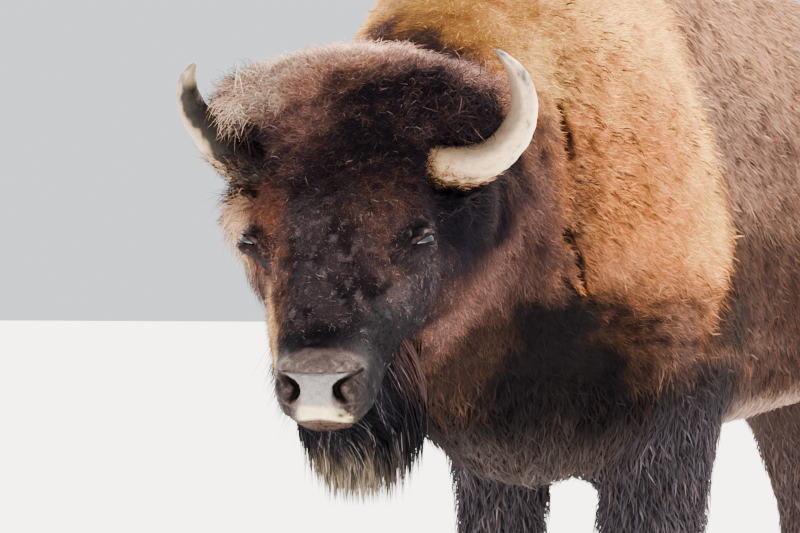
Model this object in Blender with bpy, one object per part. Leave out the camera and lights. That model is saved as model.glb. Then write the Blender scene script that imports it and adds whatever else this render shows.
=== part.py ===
"""Life-size still model of an American bison cow in her winter coat.

Metres, +Z up. The animal faces -Y with its left side towards +X, and stands on eight flat claws
at Z = 0. The solids follow the outside of the coat. The flesh is lofted as a few overlapping
forms, fused into one body, and parted again with thin cuts where a person would name its parts.
"""

import math

import bmesh
import bpy
import numpy as np
from mathutils import Matrix, Vector

# ---------------------------------------------------------------- driving dimensions

HUMP_HEIGHT = 1.55
FORE_FEET_Y = -0.36
HIND_FEET_Y = 0.61
FORE_TRACK = 0.240
HIND_TRACK = 0.256

HEAD_YAW = math.radians(20.5)
HEAD_PITCH = math.radians(50)
POLL = Vector((-0.014, -0.973, 1.060))

CORONET_HEIGHT = 0.088
CUT_GAP = 0.0005
SEAT_GAP = 0.0004

VOXEL = 0.013
HEAD_TRIANGLES = 1600
BODY_TRIANGLES = 2050
RING_POINTS = 28

# ---------------------------------------------------------------- the head's own frame

HEADING = Vector((math.sin(HEAD_YAW), -math.cos(HEAD_YAW), 0))
UP = Vector((0, 0, 1))
LEFT = Vector((1, 0, 0))
FRONT = Vector((0, -1, 0))
HEAD_LEFT = UP.cross(HEADING)
FACE = HEADING * math.cos(HEAD_PITCH) - UP * math.sin(HEAD_PITCH)
BROW = HEADING * math.sin(HEAD_PITCH) + UP * math.cos(HEAD_PITCH)


def on_head(along, left, out):
    """A point of the head: along the face from the poll, to the animal's left, and out of the brow."""
    return POLL + FACE * along + HEAD_LEFT * left + BROW * out


def beside_head(left, back, height):
    """A point level with the floor's axes: to the head's left, behind its poll, at a height."""
    level = POLL + HEAD_LEFT * left - HEADING * back
    return Vector((level.x, level.y, height))


# ---------------------------------------------------------------- tools


def clear_scene():
    for obj in list(bpy.data.objects):
        bpy.data.objects.remove(obj)


def material(name, colour, roughness, metallic=0.0):
    made = bpy.data.materials.new(name)
    made.use_nodes = True
    shader = made.node_tree.nodes["Principled BSDF"]
    shader.inputs["Base Color"].default_value = (*colour, 1)
    shader.inputs["Roughness"].default_value = roughness
    shader.inputs["Metallic"].default_value = metallic
    return made


def new_object(name, mesh, finish=None):
    obj = bpy.data.objects.new(name, mesh)
    bpy.context.scene.collection.objects.link(obj)
    if finish:
        mesh.materials.clear()
        mesh.materials.append(finish)
    return obj


def eased(stations, count):
    """Rows between the stations, on a Catmull-Rom curve through all their columns at once."""
    rows = np.array([np.hstack(row) for row in stations], float)
    padded = np.vstack([2 * rows[0] - rows[1], rows, 2 * rows[-1] - rows[-2]])
    made = []
    for place in np.linspace(0, len(rows) - 1, count):
        start = min(int(place), len(rows) - 2)
        t = place - start
        a, b, c, d = padded[start : start + 4]
        made.append(
            b
            + 0.5 * t * (c - a + t * (2 * a - 5 * b + 4 * c - d + t * (3 * (b - c) + d - a)))
        )
    return np.array(made)


def ring(centre, side, up, half_width, above, below, top_power, low_power):
    """Points of a rounded section: an ellipse's own curve at power 2, peaked below it, square above."""
    points = []
    for k in range(RING_POINTS):
        angle = 2 * math.pi * k / RING_POINTS
        c, s = math.cos(angle), math.sin(angle)
        power = top_power if s >= 0 else low_power
        reach = above if s >= 0 else below
        across = half_width * math.copysign(abs(c) ** (2 / power), c)
        rise = reach * math.copysign(abs(s) ** (2 / power), s)
        points.append(centre + side * across + up * rise)
    return points


def skinned(name, rings):
    """A closed mesh through the rings, each end closed by a fan to its middle."""
    bm = bmesh.new()
    loops = [[bm.verts.new(p) for p in points] for points in rings]
    for low, high in zip(loops, loops[1:]):
        for k in range(len(low)):
            j = (k + 1) % len(low)
            bm.faces.new((low[k], low[j], high[j], high[k]))
    for loop in (loops[0], loops[-1]):
        middle = bm.verts.new(sum((v.co for v in loop), Vector()) / len(loop))
        for k in range(len(loop)):
            bm.faces.new((loop[k], loop[(k + 1) % len(loop)], middle))
    bmesh.ops.recalc_face_normals(bm, faces=bm.faces)
    mesh = bpy.data.meshes.new(name)
    bm.to_mesh(mesh)
    bm.free()
    return new_object(name, mesh)


def lofted(name, stations, side, upward, count):
    """A form through stations of centre x, y, z, half width, above, below, top power, low power."""
    rows = eased(stations, count)
    return skinned(name, [ring(Vector(row[:3]), side, upward, *row[3:8]) for row in rows])


def ellipsoid(name, centre, axes, radii):
    bm = bmesh.new()
    bmesh.ops.create_icosphere(bm, subdivisions=4, radius=1)
    turn = Matrix((axes[0], axes[1], axes[2])).transposed()
    for vert in bm.verts:
        vert.co = centre + turn @ Vector([c * r for c, r in zip(vert.co, radii)])
    bm.normal_update()
    bmesh.ops.recalc_face_normals(bm, faces=bm.faces)
    mesh = bpy.data.meshes.new(name)
    bm.to_mesh(mesh)
    bm.free()
    return new_object(name, mesh)


def evaluated(obj):
    """Replaces the object's mesh by what its modifiers make of it."""
    bpy.context.view_layer.update()
    graph = bpy.context.evaluated_depsgraph_get()
    mesh = bpy.data.meshes.new_from_object(obj.evaluated_get(graph))
    obj.modifiers.clear()
    obj.data = mesh
    return obj


def fused(name, forms, voxel, smoothing):
    """One skin round all the forms, with the creases between them smoothed."""
    bm = bmesh.new()
    for form in forms:
        bm.from_mesh(form.data)
        bpy.data.objects.remove(form)
    mesh = bpy.data.meshes.new(name)
    bm.to_mesh(mesh)
    bm.free()
    obj = new_object(name, mesh)
    remesh = obj.modifiers.new("fuse", "REMESH")
    remesh.mode = "VOXEL"
    remesh.voxel_size = voxel
    smooth = obj.modifiers.new("soften", "SMOOTH")
    smooth.factor = 0.5
    smooth.iterations = smoothing
    return evaluated(obj)


def boolean(obj, other, operation="DIFFERENCE"):
    cut = obj.modifiers.new("cut", "BOOLEAN")
    cut.operation = operation
    cut.solver = "EXACT"
    cut.object = other
    evaluated(obj)
    bpy.data.objects.remove(other)
    return obj


def inflated(obj, gap):
    """A copy of the object whose surface stands out by the gap, to cut a seat with."""
    copy = new_object(obj.name + "_cutter", obj.data.copy())
    copy.data.materials.clear()
    bm = bmesh.new()
    bm.from_mesh(copy.data)
    bm.normal_update()
    shifts = [vert.normal * gap for vert in bm.verts]
    for vert, shift in zip(bm.verts, shifts):
        vert.co += shift
    bm.to_mesh(copy.data)
    bm.free()
    return copy


# ---------------------------------------------------------------- the fleshed forms


def trunk_form():
    """Barrel, hump and rump: y, half width, top, bottom, height of the widest place, top power."""
    hump = HUMP_HEIGHT
    profile = [
        (-0.72, 0.120, hump - 0.300, 0.755, 0.950, 2.0),
        (-0.62, 0.205, hump - 0.130, 0.618, 0.930, 1.9),
        (-0.52, 0.248, hump - 0.035, 0.570, 0.900, 1.8),
        (-0.38, 0.268, hump, 0.585, 0.890, 1.7),
        (-0.20, 0.274, hump - 0.035, 0.624, 0.890, 1.7),
        (0.00, 0.286, hump - 0.120, 0.652, 0.900, 1.8),
        (0.18, 0.292, hump - 0.205, 0.672, 0.920, 2.0),
        (0.36, 0.283, hump - 0.255, 0.696, 0.945, 2.1),
        (0.54, 0.262, hump - 0.265, 0.735, 0.970, 2.1),
        (0.70, 0.234, hump - 0.298, 0.765, 0.990, 2.1),
        (0.82, 0.174, hump - 0.355, 0.815, 1.000, 2.0),
        (0.885, 0.090, hump - 0.445, 0.900, 1.000, 2.0),
    ]
    stations = [
        (0, y, wide_z, half, top - wide_z, wide_z - bottom, power, 2.2)
        for y, half, top, bottom, wide_z, power in profile
    ]
    return lofted("trunk_form", stations, LEFT, UP, 40)


def neck_form():
    """The short deep neck with its mane, from the hump to behind the jaw."""
    stations = [
        (0.000, -0.44, 1.000, 0.258, 0.440, 0.400, 1.9, 2.0),
        (-0.003, -0.62, 0.985, 0.242, 0.430, 0.378, 2.2, 1.9),
        (-0.008, -0.76, 0.965, 0.208, 0.365, 0.288, 2.2, 1.9),
        (-0.014, -0.87, 0.955, 0.178, 0.265, 0.225, 2.1, 1.9),
        (-0.014, -0.98, 0.945, 0.150, 0.180, 0.180, 2.0, 2.0),
    ]
    return lofted("neck_form", stations, LEFT, UP, 20)


def head_form():
    """Skull, jaws and muzzle: place along the face, half width, brow side, throat side, powers."""
    profile = [
        (-0.070, 0.110, 0.050, -0.160, 2.2, 2.0),
        (-0.010, 0.128, 0.092, -0.180, 2.3, 2.0),
        (0.060, 0.134, 0.108, -0.186, 2.4, 2.0),
        (0.130, 0.134, 0.108, -0.182, 2.5, 2.0),
        (0.190, 0.130, 0.100, -0.172, 2.5, 2.0),
        (0.260, 0.107, 0.084, -0.152, 2.4, 2.1),
        (0.330, 0.093, 0.070, -0.128, 2.4, 2.1),
        (0.390, 0.079, 0.062, -0.108, 2.5, 1.8),
        (0.435, 0.071, 0.056, -0.092, 2.7, 1.5),
        (0.468, 0.059, 0.036, -0.066, 2.6, 1.5),
        (0.480, 0.030, 0.008, -0.036, 2.2, 1.6),
    ]
    stations = []
    for along, half, brow, throat, top_power, low_power in profile:
        middle = 0.45 * brow + 0.55 * throat
        centre = on_head(along, 0, middle)
        stations.append((*centre, half, brow - middle, middle - throat, top_power, low_power))
    return lofted("head_form", stations, HEAD_LEFT, BROW, 36)


def bonnet_forms():
    """The mop of hair between the horns, its puffs beside them, and its apron over the forehead."""
    crown = beside_head(0, 0.015, 1.095)
    apron = on_head(0.085, 0, 0.075)
    cap_axes = (HEAD_LEFT, HEADING, UP)
    face_axes = (HEAD_LEFT, FACE, BROW)
    forms = [
        ellipsoid("crown_form", crown, cap_axes, (0.205, 0.140, 0.128)),
        ellipsoid("apron_form", apron, face_axes, (0.136, 0.125, 0.062)),
    ]
    for side in (-1, 1):
        puff = beside_head(side * 0.118, 0.015, 1.112)
        forms.append(ellipsoid("puff_form", puff, cap_axes, (0.092, 0.120, 0.088)))
    return forms


def cheek_forms():
    """The long hair of the cheeks and of the temples, round the roots of the ears."""
    made = []
    for side in (-1, 1):
        cheek = on_head(0.06, side * 0.085, -0.095)
        temple = beside_head(side * 0.142, 0.006, 0.985)
        whiskers = beside_head(side * 0.122, 0.0, 0.942)
        made.append(
            ellipsoid("cheek_form", cheek, (HEAD_LEFT, FACE, BROW), (0.085, 0.150, 0.105))
        )
        made.append(
            ellipsoid("temple_form", temple, (HEAD_LEFT, HEADING, UP), (0.056, 0.085, 0.078))
        )
        made.append(
            ellipsoid("whisker_form", whiskers, (HEAD_LEFT, HEADING, UP), (0.055, 0.088, 0.058))
        )
    return made


def orbit_forms():
    """The bony rims that carry the eyes out from the face."""
    return [
        ellipsoid(
            "orbit_form", on_head(0.188, side * 0.103 - 0.0025, 0.045), (HEAD_LEFT, FACE, BROW),
            (0.039, 0.047, 0.037),
        )
        for side in (-1, 1)
    ]


def foreleg_form(side, foot_y, bulk):
    """Height, set out from the foot, set back, half width, reach to front and back."""
    profile = [
        (0.070, 0.000, -0.004, 0.042, 0.050, 0.044),
        (0.120, 0.000, 0.002, 0.036, 0.039, 0.038),
        (0.165, 0.000, 0.006, 0.041, 0.041, 0.050),
        (0.215, 0.000, 0.006, 0.035, 0.036, 0.040),
        (0.320, 0.000, 0.002, 0.037, 0.039, 0.042),
        (0.385, 0.000, -0.002, 0.050, 0.052, 0.054),
        (0.430, 0.000, -0.002, 0.062 * bulk, 0.064 * bulk, 0.068 * bulk),
        (0.475, 0.002, 0.002, 0.074 * bulk, 0.078 * bulk, 0.086 * bulk),
        (0.540, 0.004, 0.006, 0.082 * bulk, 0.088 * bulk, 0.102 * bulk),
        (0.640, 0.010, 0.010, 0.090, 0.102, 0.124),
        (0.760, 0.026, 0.005, 0.092, 0.125, 0.140),
        (0.920, 0.042, -0.020, 0.096, 0.165, 0.150),
        (1.080, 0.032, 0.000, 0.090, 0.160, 0.150),
        (1.220, 0.000, 0.030, 0.070, 0.120, 0.120),
    ]
    return leg_form("foreleg_form", side, FORE_TRACK / 2, foot_y, FORE_FEET_Y, profile)


def hind_leg_form(side, foot_y):
    profile = [
        (0.070, 0.000, -0.004, 0.040, 0.048, 0.042),
        (0.120, 0.000, 0.006, 0.034, 0.037, 0.037),
        (0.165, 0.000, 0.016, 0.038, 0.039, 0.046),
        (0.220, 0.000, 0.024, 0.032, 0.035, 0.037),
        (0.330, 0.000, 0.042, 0.033, 0.037, 0.039),
        (0.420, 0.000, 0.056, 0.038, 0.043, 0.051),
        (0.490, 0.000, 0.060, 0.043, 0.053, 0.075),
        (0.550, 0.000, 0.040, 0.047, 0.066, 0.078),
        (0.630, 0.000, 0.008, 0.060, 0.094, 0.084),
        (0.730, -0.002, -0.012, 0.082, 0.150, 0.115),
        (0.860, -0.004, 0.000, 0.108, 0.190, 0.165),
        (1.000, -0.014, 0.010, 0.112, 0.190, 0.185),
        (1.120, -0.028, 0.000, 0.100, 0.160, 0.165),
        (1.210, -0.048, -0.010, 0.070, 0.120, 0.120),
    ]
    return leg_form("hind_leg_form", side, HIND_TRACK / 2, foot_y, HIND_FEET_Y, profile)


def leg_form(name, side, track, foot_y, hip_y, profile):
    """A leg from its coronet up into the body. A foot set forward swings the leg from its top."""
    top = profile[-1][0]
    stations = []
    for height, out, back, half, front, rear in profile:
        swing = (foot_y - hip_y) * (1 - height / top) ** 1.2
        centre_y = hip_y + swing + back + (rear - front) / 2
        depth = (front + rear) / 2
        stations.append((side * (track + out), centre_y, height, half, depth, depth, 2.0, 2.0))
    return lofted(name, stations, LEFT, FRONT, 34)


# ---------------------------------------------------------------- relief of bone, muscle and coat


def relief():
    """Swellings (+) and hollows (-) of the surface: place, radius, height."""
    marks = []
    for side in (-1, 1):
        marks += [
            (Vector((side * 0.25, -0.44, 1.02)), 0.150, 0.016),
            (Vector((side * 0.22, -0.40, 0.78)), 0.110, 0.014),
            (Vector((side * 0.235, -0.645, 0.98)), 0.060, -0.016),
            (Vector((side * 0.215, -0.635, 1.12)), 0.060, -0.016),
            (Vector((side * 0.215, -0.625, 0.86)), 0.060, -0.014),
            (Vector((side * 0.26, -0.13, 0.80)), 0.110, -0.016),
            (Vector((side * 0.25, 0.43, 1.06)), 0.120, -0.016),
            (Vector((side * 0.20, 0.46, 1.22)), 0.070, 0.014),
            (Vector((side * 0.21, 0.56, 0.78)), 0.090, 0.016),
            (on_head(0.245, side * 0.098, 0.020), 0.040, -0.010),
            (on_head(0.140, side * 0.125, 0.070), 0.035, 0.006),
            (on_head(0.432, side * 0.062, 0.030), 0.026, 0.006),
            (on_head(0.462, side * 0.046, 0.004), 0.016, -0.009),
            (on_head(0.405, side * 0.074, -0.040), 0.022, -0.004),
        ]
    return marks


def carve(obj, marks):
    mesh = obj.data
    count = len(mesh.vertices)
    places = np.empty(count * 3)
    normals = np.empty(count * 3)
    mesh.vertices.foreach_get("co", places)
    mesh.vertices.foreach_get("normal", normals)
    places = places.reshape(-1, 3)
    normals = normals.reshape(-1, 3)
    rise = np.zeros(count)
    for centre, radius, height in marks:
        near = np.linalg.norm(places - np.array(centre), axis=1) / radius
        rise += height * np.exp(-(near**2))
    places += normals * rise[:, None]
    mesh.vertices.foreach_set("co", places.ravel())
    mesh.update()


def in_head(place):
    return (place - POLL).dot(FACE) > -0.12 and place.y < -0.85


def lightened(obj, region, triangles):
    """Fewer triangles within a region of the mesh, leaving the rest as it is."""
    group = obj.vertex_groups.new(name="region")
    inside = [region(vert.co) for vert in obj.data.vertices]
    group.add([k for k, held in enumerate(inside) if held], 1.0, "REPLACE")
    total = 0
    held = 0
    for face in obj.data.polygons:
        total += len(face.vertices) - 2
        held += len(face.vertices) - 2 if all(inside[k] for k in face.vertices) else 0
    fewer = obj.modifiers.new("lighten", "DECIMATE")
    fewer.decimate_type = "COLLAPSE"
    fewer.use_collapse_triangulate = True
    fewer.vertex_group = group.name
    fewer.ratio = (total - held + triangles) / total
    evaluated(obj)
    obj.vertex_groups.clear()
    return obj


# ---------------------------------------------------------------- parting the body


def slab(centre, normal, half_width, half_height, side=LEFT):
    """A thin flat cutter, centred on a place and facing along a normal."""
    normal = normal.normalized()
    across = (side - normal * side.dot(normal)).normalized()
    up = normal.cross(across)
    bm = bmesh.new()
    bmesh.ops.create_cube(bm, size=2)
    halves = (half_width, half_height, CUT_GAP / 2)
    for vert in bm.verts:
        x, y, z = (c * h for c, h in zip(vert.co, halves))
        vert.co = centre + across * x + up * y + normal * z
    bm.normal_update()
    bmesh.ops.recalc_face_normals(bm, faces=bm.faces)
    mesh = bpy.data.meshes.new("slab")
    bm.to_mesh(mesh)
    bm.free()
    return new_object("slab", mesh)


def parted(obj):
    """The separate bodies of an object that cuts have gone through, as new objects."""
    bm = bmesh.new()
    bm.from_mesh(obj.data)
    bpy.data.objects.remove(obj)
    bm.verts.index_update()
    owner = [-1] * len(bm.verts)
    bodies = 0
    for first in bm.verts:
        if owner[first.index] >= 0:
            continue
        owner[first.index] = bodies
        reached = [first]
        for vert in reached:
            for link in vert.link_edges:
                other = link.other_vert(vert)
                if owner[other.index] < 0:
                    owner[other.index] = bodies
                    reached.append(other)
        bodies += 1
    made = []
    for body in range(bodies):
        verts = [vert for vert in bm.verts if owner[vert.index] == body]
        order = {vert.index: k for k, vert in enumerate(verts)}
        faces = [face for face in bm.faces if owner[face.verts[0].index] == body]
        mesh = bpy.data.meshes.new("piece")
        mesh.from_pydata(
            [vert.co[:] for vert in verts], [], [[order[v.index] for v in f.verts] for f in faces]
        )
        mesh.update()
        made.append(new_object("piece", mesh))
    bm.free()
    return made


def middle_of(obj):
    """The middle of the object's box."""
    low = [min(v.co[k] for v in obj.data.vertices) for k in range(3)]
    high = [max(v.co[k] for v in obj.data.vertices) for k in range(3)]
    return (Vector(low) + Vector(high)) / 2


def body_cuts():
    """Where the whole body is parted: behind the head, before the shoulder, and at each limb."""
    cuts = [
        slab(Vector((-0.01, -0.880, 0.98)), Vector((0.20, -0.97, 0.08)), 0.45, 0.45),
        slab(Vector((0, -0.660, 1.02)), Vector((0.04, -1.0, 0.10)), 0.50, 0.60),
    ]
    for side in (-1, 1):
        armpit = Vector((side * 0.150, FORE_FEET_Y + 0.005, 0.604))
        groin = Vector((side * 0.150, HIND_FEET_Y - 0.010, 0.742))
        cuts.append(slab(armpit, Vector((side * -0.90, 0, 1)), 0.190, 0.200))
        cuts.append(slab(groin, Vector((side * -0.574, -0.28, 1)), 0.185, 0.260))
    return cuts


def name_of(centre):
    """Which part of the animal a parted body is, by where its middle lies."""
    side = "left" if centre.x > 0 else "right"
    if centre.z < 0.62:
        return f"{side}_foreleg" if centre.y < 0.1 else f"{side}_hind_leg"
    if centre.y < -0.90:
        return "head"
    return "neck" if centre.y < -0.62 else "trunk"


# ---------------------------------------------------------------- horns, ears, eyes, beard, tail, claws


def tube(name, path, radii, sides, count, flat, wide):
    """A tapered tube along a smooth path, its section flattened across a wide direction."""
    rows = eased([(*p, r) for p, r in zip(path, radii)], count)
    rings = []
    side = wide
    for k, row in enumerate(rows):
        along = Vector(rows[min(k + 1, count - 1)][:3]) - Vector(rows[max(k - 1, 0)][:3])
        along.normalize()
        side = (side - along * side.dot(along)).normalized()
        up = along.cross(side)
        points = []
        for j in range(sides):
            angle = 2 * math.pi * j / sides
            turn = side * math.cos(angle) + up * (math.sin(angle) * flat)
            points.append(Vector(row[:3]) + turn * max(row[3], 0.001))
        rings.append(points)
    return skinned(name, rings)


def horn(side):
    """A smooth C-shaped horn: out of the hair, up, and forward at its tip. The left one starts lower."""
    low_left = [
        (0.082, -0.044, 1.052), (0.122, -0.050, 1.044), (0.163, -0.050, 1.042),
        (0.200, -0.045, 1.054), (0.229, -0.040, 1.084), (0.243, -0.040, 1.119),
        (0.243, -0.055, 1.154), (0.233, -0.080, 1.182), (0.212, -0.104, 1.204),
    ]
    high_right = [
        (0.086, -0.044, 1.036), (0.125, -0.050, 1.036), (0.160, -0.052, 1.046),
        (0.186, -0.050, 1.066), (0.210, -0.045, 1.092), (0.231, -0.042, 1.120),
        (0.238, -0.055, 1.148), (0.232, -0.080, 1.170), (0.217, -0.104, 1.187),
    ]
    radii = [0.029, 0.030, 0.030, 0.028, 0.0255, 0.022, 0.0175, 0.011, 0.003]
    path = low_left if side > 0 else high_right
    places = [beside_head(side * left, back, height) for left, back, height in path]
    return tube(f"{'left' if side > 0 else 'right'}_horn", places, radii, 10, 15, 1.0, FRONT)


def ear(side):
    """A short hairy ear, cupped forward, pointing out and a little back and down."""
    path = [(0.106, 0.020, 0.990), (0.148, 0.026, 0.985), (0.183, 0.038, 0.972), (0.214, 0.060, 0.952)]
    radii = [0.024, 0.036, 0.030, 0.006]
    places = [beside_head(side * left, back, height) for left, back, height in path]
    return tube(f"{'left' if side > 0 else 'right'}_ear", places, radii, 10, 8, 0.42, UP)


def eye(side):
    centre = on_head(0.201, side * 0.1225 - 0.0025, 0.046)
    made = ellipsoid(
        f"{'left' if side > 0 else 'right'}_eye", centre, (HEAD_LEFT, FACE, BROW),
        (0.0175, 0.0175, 0.0175),
    )
    thin = made.modifiers.new("lighten", "DECIMATE")
    thin.ratio = 0.035
    return evaluated(made)


def beard():
    """The long hair hanging straight down below the chin and throat."""
    place = on_head(0.330, 0.025, -0.085) - HEADING * 0.045
    rows = [
        (0.790, 0.060, 0.068, 0.070),
        (0.750, 0.082, 0.088, 0.085),
        (0.705, 0.092, 0.098, 0.095),
        (0.660, 0.088, 0.092, 0.090),
        (0.620, 0.072, 0.076, 0.072),
        (0.585, 0.050, 0.054, 0.050),
        (0.562, 0.018, 0.020, 0.018),
    ]
    stations = []
    for height, half, front, rear in rows:
        stations.append((place.x, place.y, height, half, front, rear, 2.0, 2.0))
    return lofted("beard", stations, HEAD_LEFT, HEADING, 8)


def tail():
    path = [(0, 0.80, 1.150), (0, 0.862, 1.135), (0, 0.902, 1.065), (0, 0.918, 0.96), (0, 0.918, 0.86)]
    radii = [0.036, 0.038, 0.031, 0.026, 0.022]
    return tube("tail", [Vector(p) for p in path], radii, 10, 9, 1.0, LEFT)


def tail_tuft():
    path = [(0, 0.918, 0.900), (0, 0.919, 0.850), (0, 0.919, 0.790), (0, 0.917, 0.730), (0, 0.915, 0.690)]
    radii = [0.028, 0.036, 0.040, 0.026, 0.004]
    return tube("tail_tuft", [Vector(p) for p in path], radii, 10, 8, 1.0, LEFT)


def claw(name, foot, side, front):
    """One half of a cloven hoof: flat sole, sloping wall, rounded toe, square inner side."""
    outline = [
        (0.0015, -0.036), (0.0015, 0.020), (0.004, 0.052), (0.012, 0.068), (0.024, 0.066),
        (0.036, 0.046), (0.042, 0.018), (0.042, -0.014), (0.034, -0.038), (0.018, -0.046),
    ]
    levels = [
        (0.000, 1.00, 0.000), (0.012, 1.02, -0.001), (0.045, 0.95, -0.009), (0.075, 0.86, -0.018),
        (0.090, 0.74, -0.022),
    ]
    rings = []
    for height, scale, back in levels:
        ahead = back * front
        rings.append([
            foot + Vector((side * (0.0015 + (x - 0.0015) * scale), -(y * scale + ahead), height))
            for x, y in outline
        ])
    return skinned(name, rings)


def dewclaw(name, foot, side):
    centre = foot + Vector((side * 0.021, 0.046, 0.112))
    axes = (Vector((1, 0, 0)), Vector((0, 0.5, -0.866)), Vector((0, 0.866, 0.5)))
    made = ellipsoid(name, centre, axes, (0.012, 0.022, 0.013))
    thin = made.modifiers.new("lighten", "DECIMATE")
    thin.ratio = 0.012
    return evaluated(made)


# ---------------------------------------------------------------- assembly


def feet_places():
    """The ground places of the feet: name, track side, level place."""
    return [
        ("left_fore", 1, Vector((FORE_TRACK / 2, FORE_FEET_Y + 0.005, 0))),
        ("right_fore", -1, Vector((-FORE_TRACK / 2, FORE_FEET_Y - 0.020, 0))),
        ("left_hind", 1, Vector((HIND_TRACK / 2, HIND_FEET_Y + 0.055, 0))),
        ("right_hind", -1, Vector((-HIND_TRACK / 2, HIND_FEET_Y - 0.035, 0))),
    ]


def paired_parts():
    made = []
    for side in (-1, 1):
        made += [horn(side), ear(side), eye(side)]
    return made


def claws():
    made = []
    for name, _, foot in feet_places():
        for side, place in ((-1, "right"), (1, "left")):
            made.append(claw(f"{name}_{place}_claw", foot, side, 1.0))
            made.append(dewclaw(f"{name}_{place}_dewclaw", foot, side))
    return made


def build():
    clear_scene()
    hide = material("short_winter_hair", (0.105, 0.052, 0.028), 0.9)
    cape = material("tan_shoulder_hair", (0.420, 0.235, 0.110), 0.92)
    rear = material("rear_body_hair", (0.160, 0.090, 0.058), 0.92)
    dark = material("dark_long_hair", (0.018, 0.012, 0.012), 0.9)
    keratin = material("horn_keratin", (0.360, 0.300, 0.250), 0.42)
    hoof = material("hoof_keratin", (0.022, 0.018, 0.017), 0.5)
    wet = material("wet_eye", (0.012, 0.008, 0.007), 0.08)

    feet = {name: foot for name, _, foot in feet_places()}
    forms = [trunk_form(), neck_form(), head_form()]
    forms += bonnet_forms() + cheek_forms() + orbit_forms()
    forms.append(foreleg_form(1, feet["left_fore"].y, 1.12))
    forms.append(foreleg_form(-1, feet["right_fore"].y, 0.97))
    forms += [hind_leg_form(1, feet["left_hind"].y), hind_leg_form(-1, feet["right_hind"].y)]
    body = fused("body", forms, VOXEL, 5)
    carve(body, relief())
    lightened(body, in_head, HEAD_TRIANGLES)
    lightened(body, lambda place: not in_head(place), BODY_TRIANGLES)

    small = paired_parts() + claws()
    tuft = tail_tuft()
    dock = tail()
    boolean(dock, inflated(tuft, SEAT_GAP))
    chin_hair = beard()
    for part in small + [tuft, dock, chin_hair]:
        boolean(body, inflated(part, SEAT_GAP))
    for cut in body_cuts():
        boolean(body, cut)
    finishes = {"head": hide, "neck": cape, "trunk": rear}
    for piece in parted(body):
        piece.name = name_of(middle_of(piece))
        piece.data.materials.append(finishes.get(piece.name, dark))
    for part in small:
        finish = wet if "eye" in part.name else keratin if "horn" in part.name else hoof
        finish = hide if "ear" in part.name else finish
        part.data.materials.append(finish)
    dock.data.materials.append(rear)
    tuft.data.materials.append(dark)
    chin_hair.data.materials.append(dark)
    centre_on_floor()


def centre_on_floor():
    """Moves everything so that the middle of the whole box's floor is the origin."""
    corners = [v.co for obj in bpy.data.objects for v in obj.data.vertices]
    low = [min(corner[k] for corner in corners) for k in range(3)]
    high = [max(corner[k] for corner in corners) for k in range(3)]
    shift = Vector((-(low[0] + high[0]) / 2, -(low[1] + high[1]) / 2, -low[2]))
    for obj in bpy.data.objects:
        obj.data.transform(Matrix.Translation(shift))


build()
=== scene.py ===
"""An American bison cow in her winter coat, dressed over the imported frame.

Each section makes one piece, or one kind of piece, with its own sizes and colours.
The animal faces -Y, its left side is towards +X, and everything is in metres.
"""

import itertools
import math

import bmesh
import bpy
import numpy as np
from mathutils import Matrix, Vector
from mathutils.kdtree import KDTree


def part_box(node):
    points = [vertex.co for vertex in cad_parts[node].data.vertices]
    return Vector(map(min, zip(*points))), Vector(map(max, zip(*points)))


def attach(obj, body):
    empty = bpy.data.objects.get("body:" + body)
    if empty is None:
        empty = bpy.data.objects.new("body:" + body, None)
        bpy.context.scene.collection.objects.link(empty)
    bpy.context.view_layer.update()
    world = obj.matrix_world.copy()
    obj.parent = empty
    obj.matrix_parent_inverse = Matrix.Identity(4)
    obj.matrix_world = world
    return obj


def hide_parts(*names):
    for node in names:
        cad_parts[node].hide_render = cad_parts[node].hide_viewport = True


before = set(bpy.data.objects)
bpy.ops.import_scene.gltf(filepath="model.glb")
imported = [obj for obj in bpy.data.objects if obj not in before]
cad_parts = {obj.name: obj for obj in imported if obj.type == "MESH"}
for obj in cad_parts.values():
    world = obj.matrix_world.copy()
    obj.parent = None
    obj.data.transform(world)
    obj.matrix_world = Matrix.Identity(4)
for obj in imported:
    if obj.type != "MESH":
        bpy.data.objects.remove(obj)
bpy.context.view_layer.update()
scene = bpy.context.scene

# ---------------------------------------------------------------- floor, light and camera
# A wide pale floor under a bright sky, a low warm sun from behind the animal's left with a
# weaker rim light across from it, and a long lens at the height of its eyes.


def linked(name, data):
    """A new object in the scene, at the origin."""
    made = bpy.data.objects.new(name, data)
    scene.collection.objects.link(made)
    return made


def new_material(name, roughness):
    """A new material of the given roughness, with its shader."""
    made = bpy.data.materials.new(name)
    made.use_nodes = True
    shader = made.node_tree.nodes["Principled BSDF"]
    shader.inputs["Roughness"].default_value = roughness
    return made, shader


reach = 90
floor_mesh = bpy.data.meshes.new("floor")
corners = [(-reach, -reach, 0), (reach, -reach, 0), (reach, reach, 0), (-reach, reach, 0)]
floor_mesh.from_pydata(corners, [], [(0, 1, 2, 3)])
floor_paint, floor_shader = new_material("floor", 0.9)
floor_shader.inputs["Base Color"].default_value = (0.80, 0.80, 0.81, 1)
floor_mesh.materials.append(floor_paint)
floor = linked("floor", floor_mesh)

world = bpy.data.worlds.new("sky")
scene.world = world
world.use_nodes = True
world.node_tree.nodes["Background"].inputs["Color"].default_value = (0.90, 0.94, 1.0, 1)
world.node_tree.nodes["Background"].inputs["Strength"].default_value = 1.35


def sun_lamp(name, strength, softness, colour, towards):
    """A distant lamp that shines from the given direction."""
    lamp = bpy.data.lights.new(name, "SUN")
    lamp.energy = strength
    lamp.angle = math.radians(softness)
    lamp.color = colour
    holder = linked(name, lamp)
    holder.rotation_euler = (-Vector(towards)).to_track_quat("-Z", "Y").to_euler()


sun_lamp("sun", 22.0, 2.5, (1.0, 0.92, 0.80), (0.41, 0.69, 0.60))
sun_lamp("rim", 12.0, 5, (1.0, 0.93, 0.86), (-0.66, 0.56, 0.50))

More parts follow.
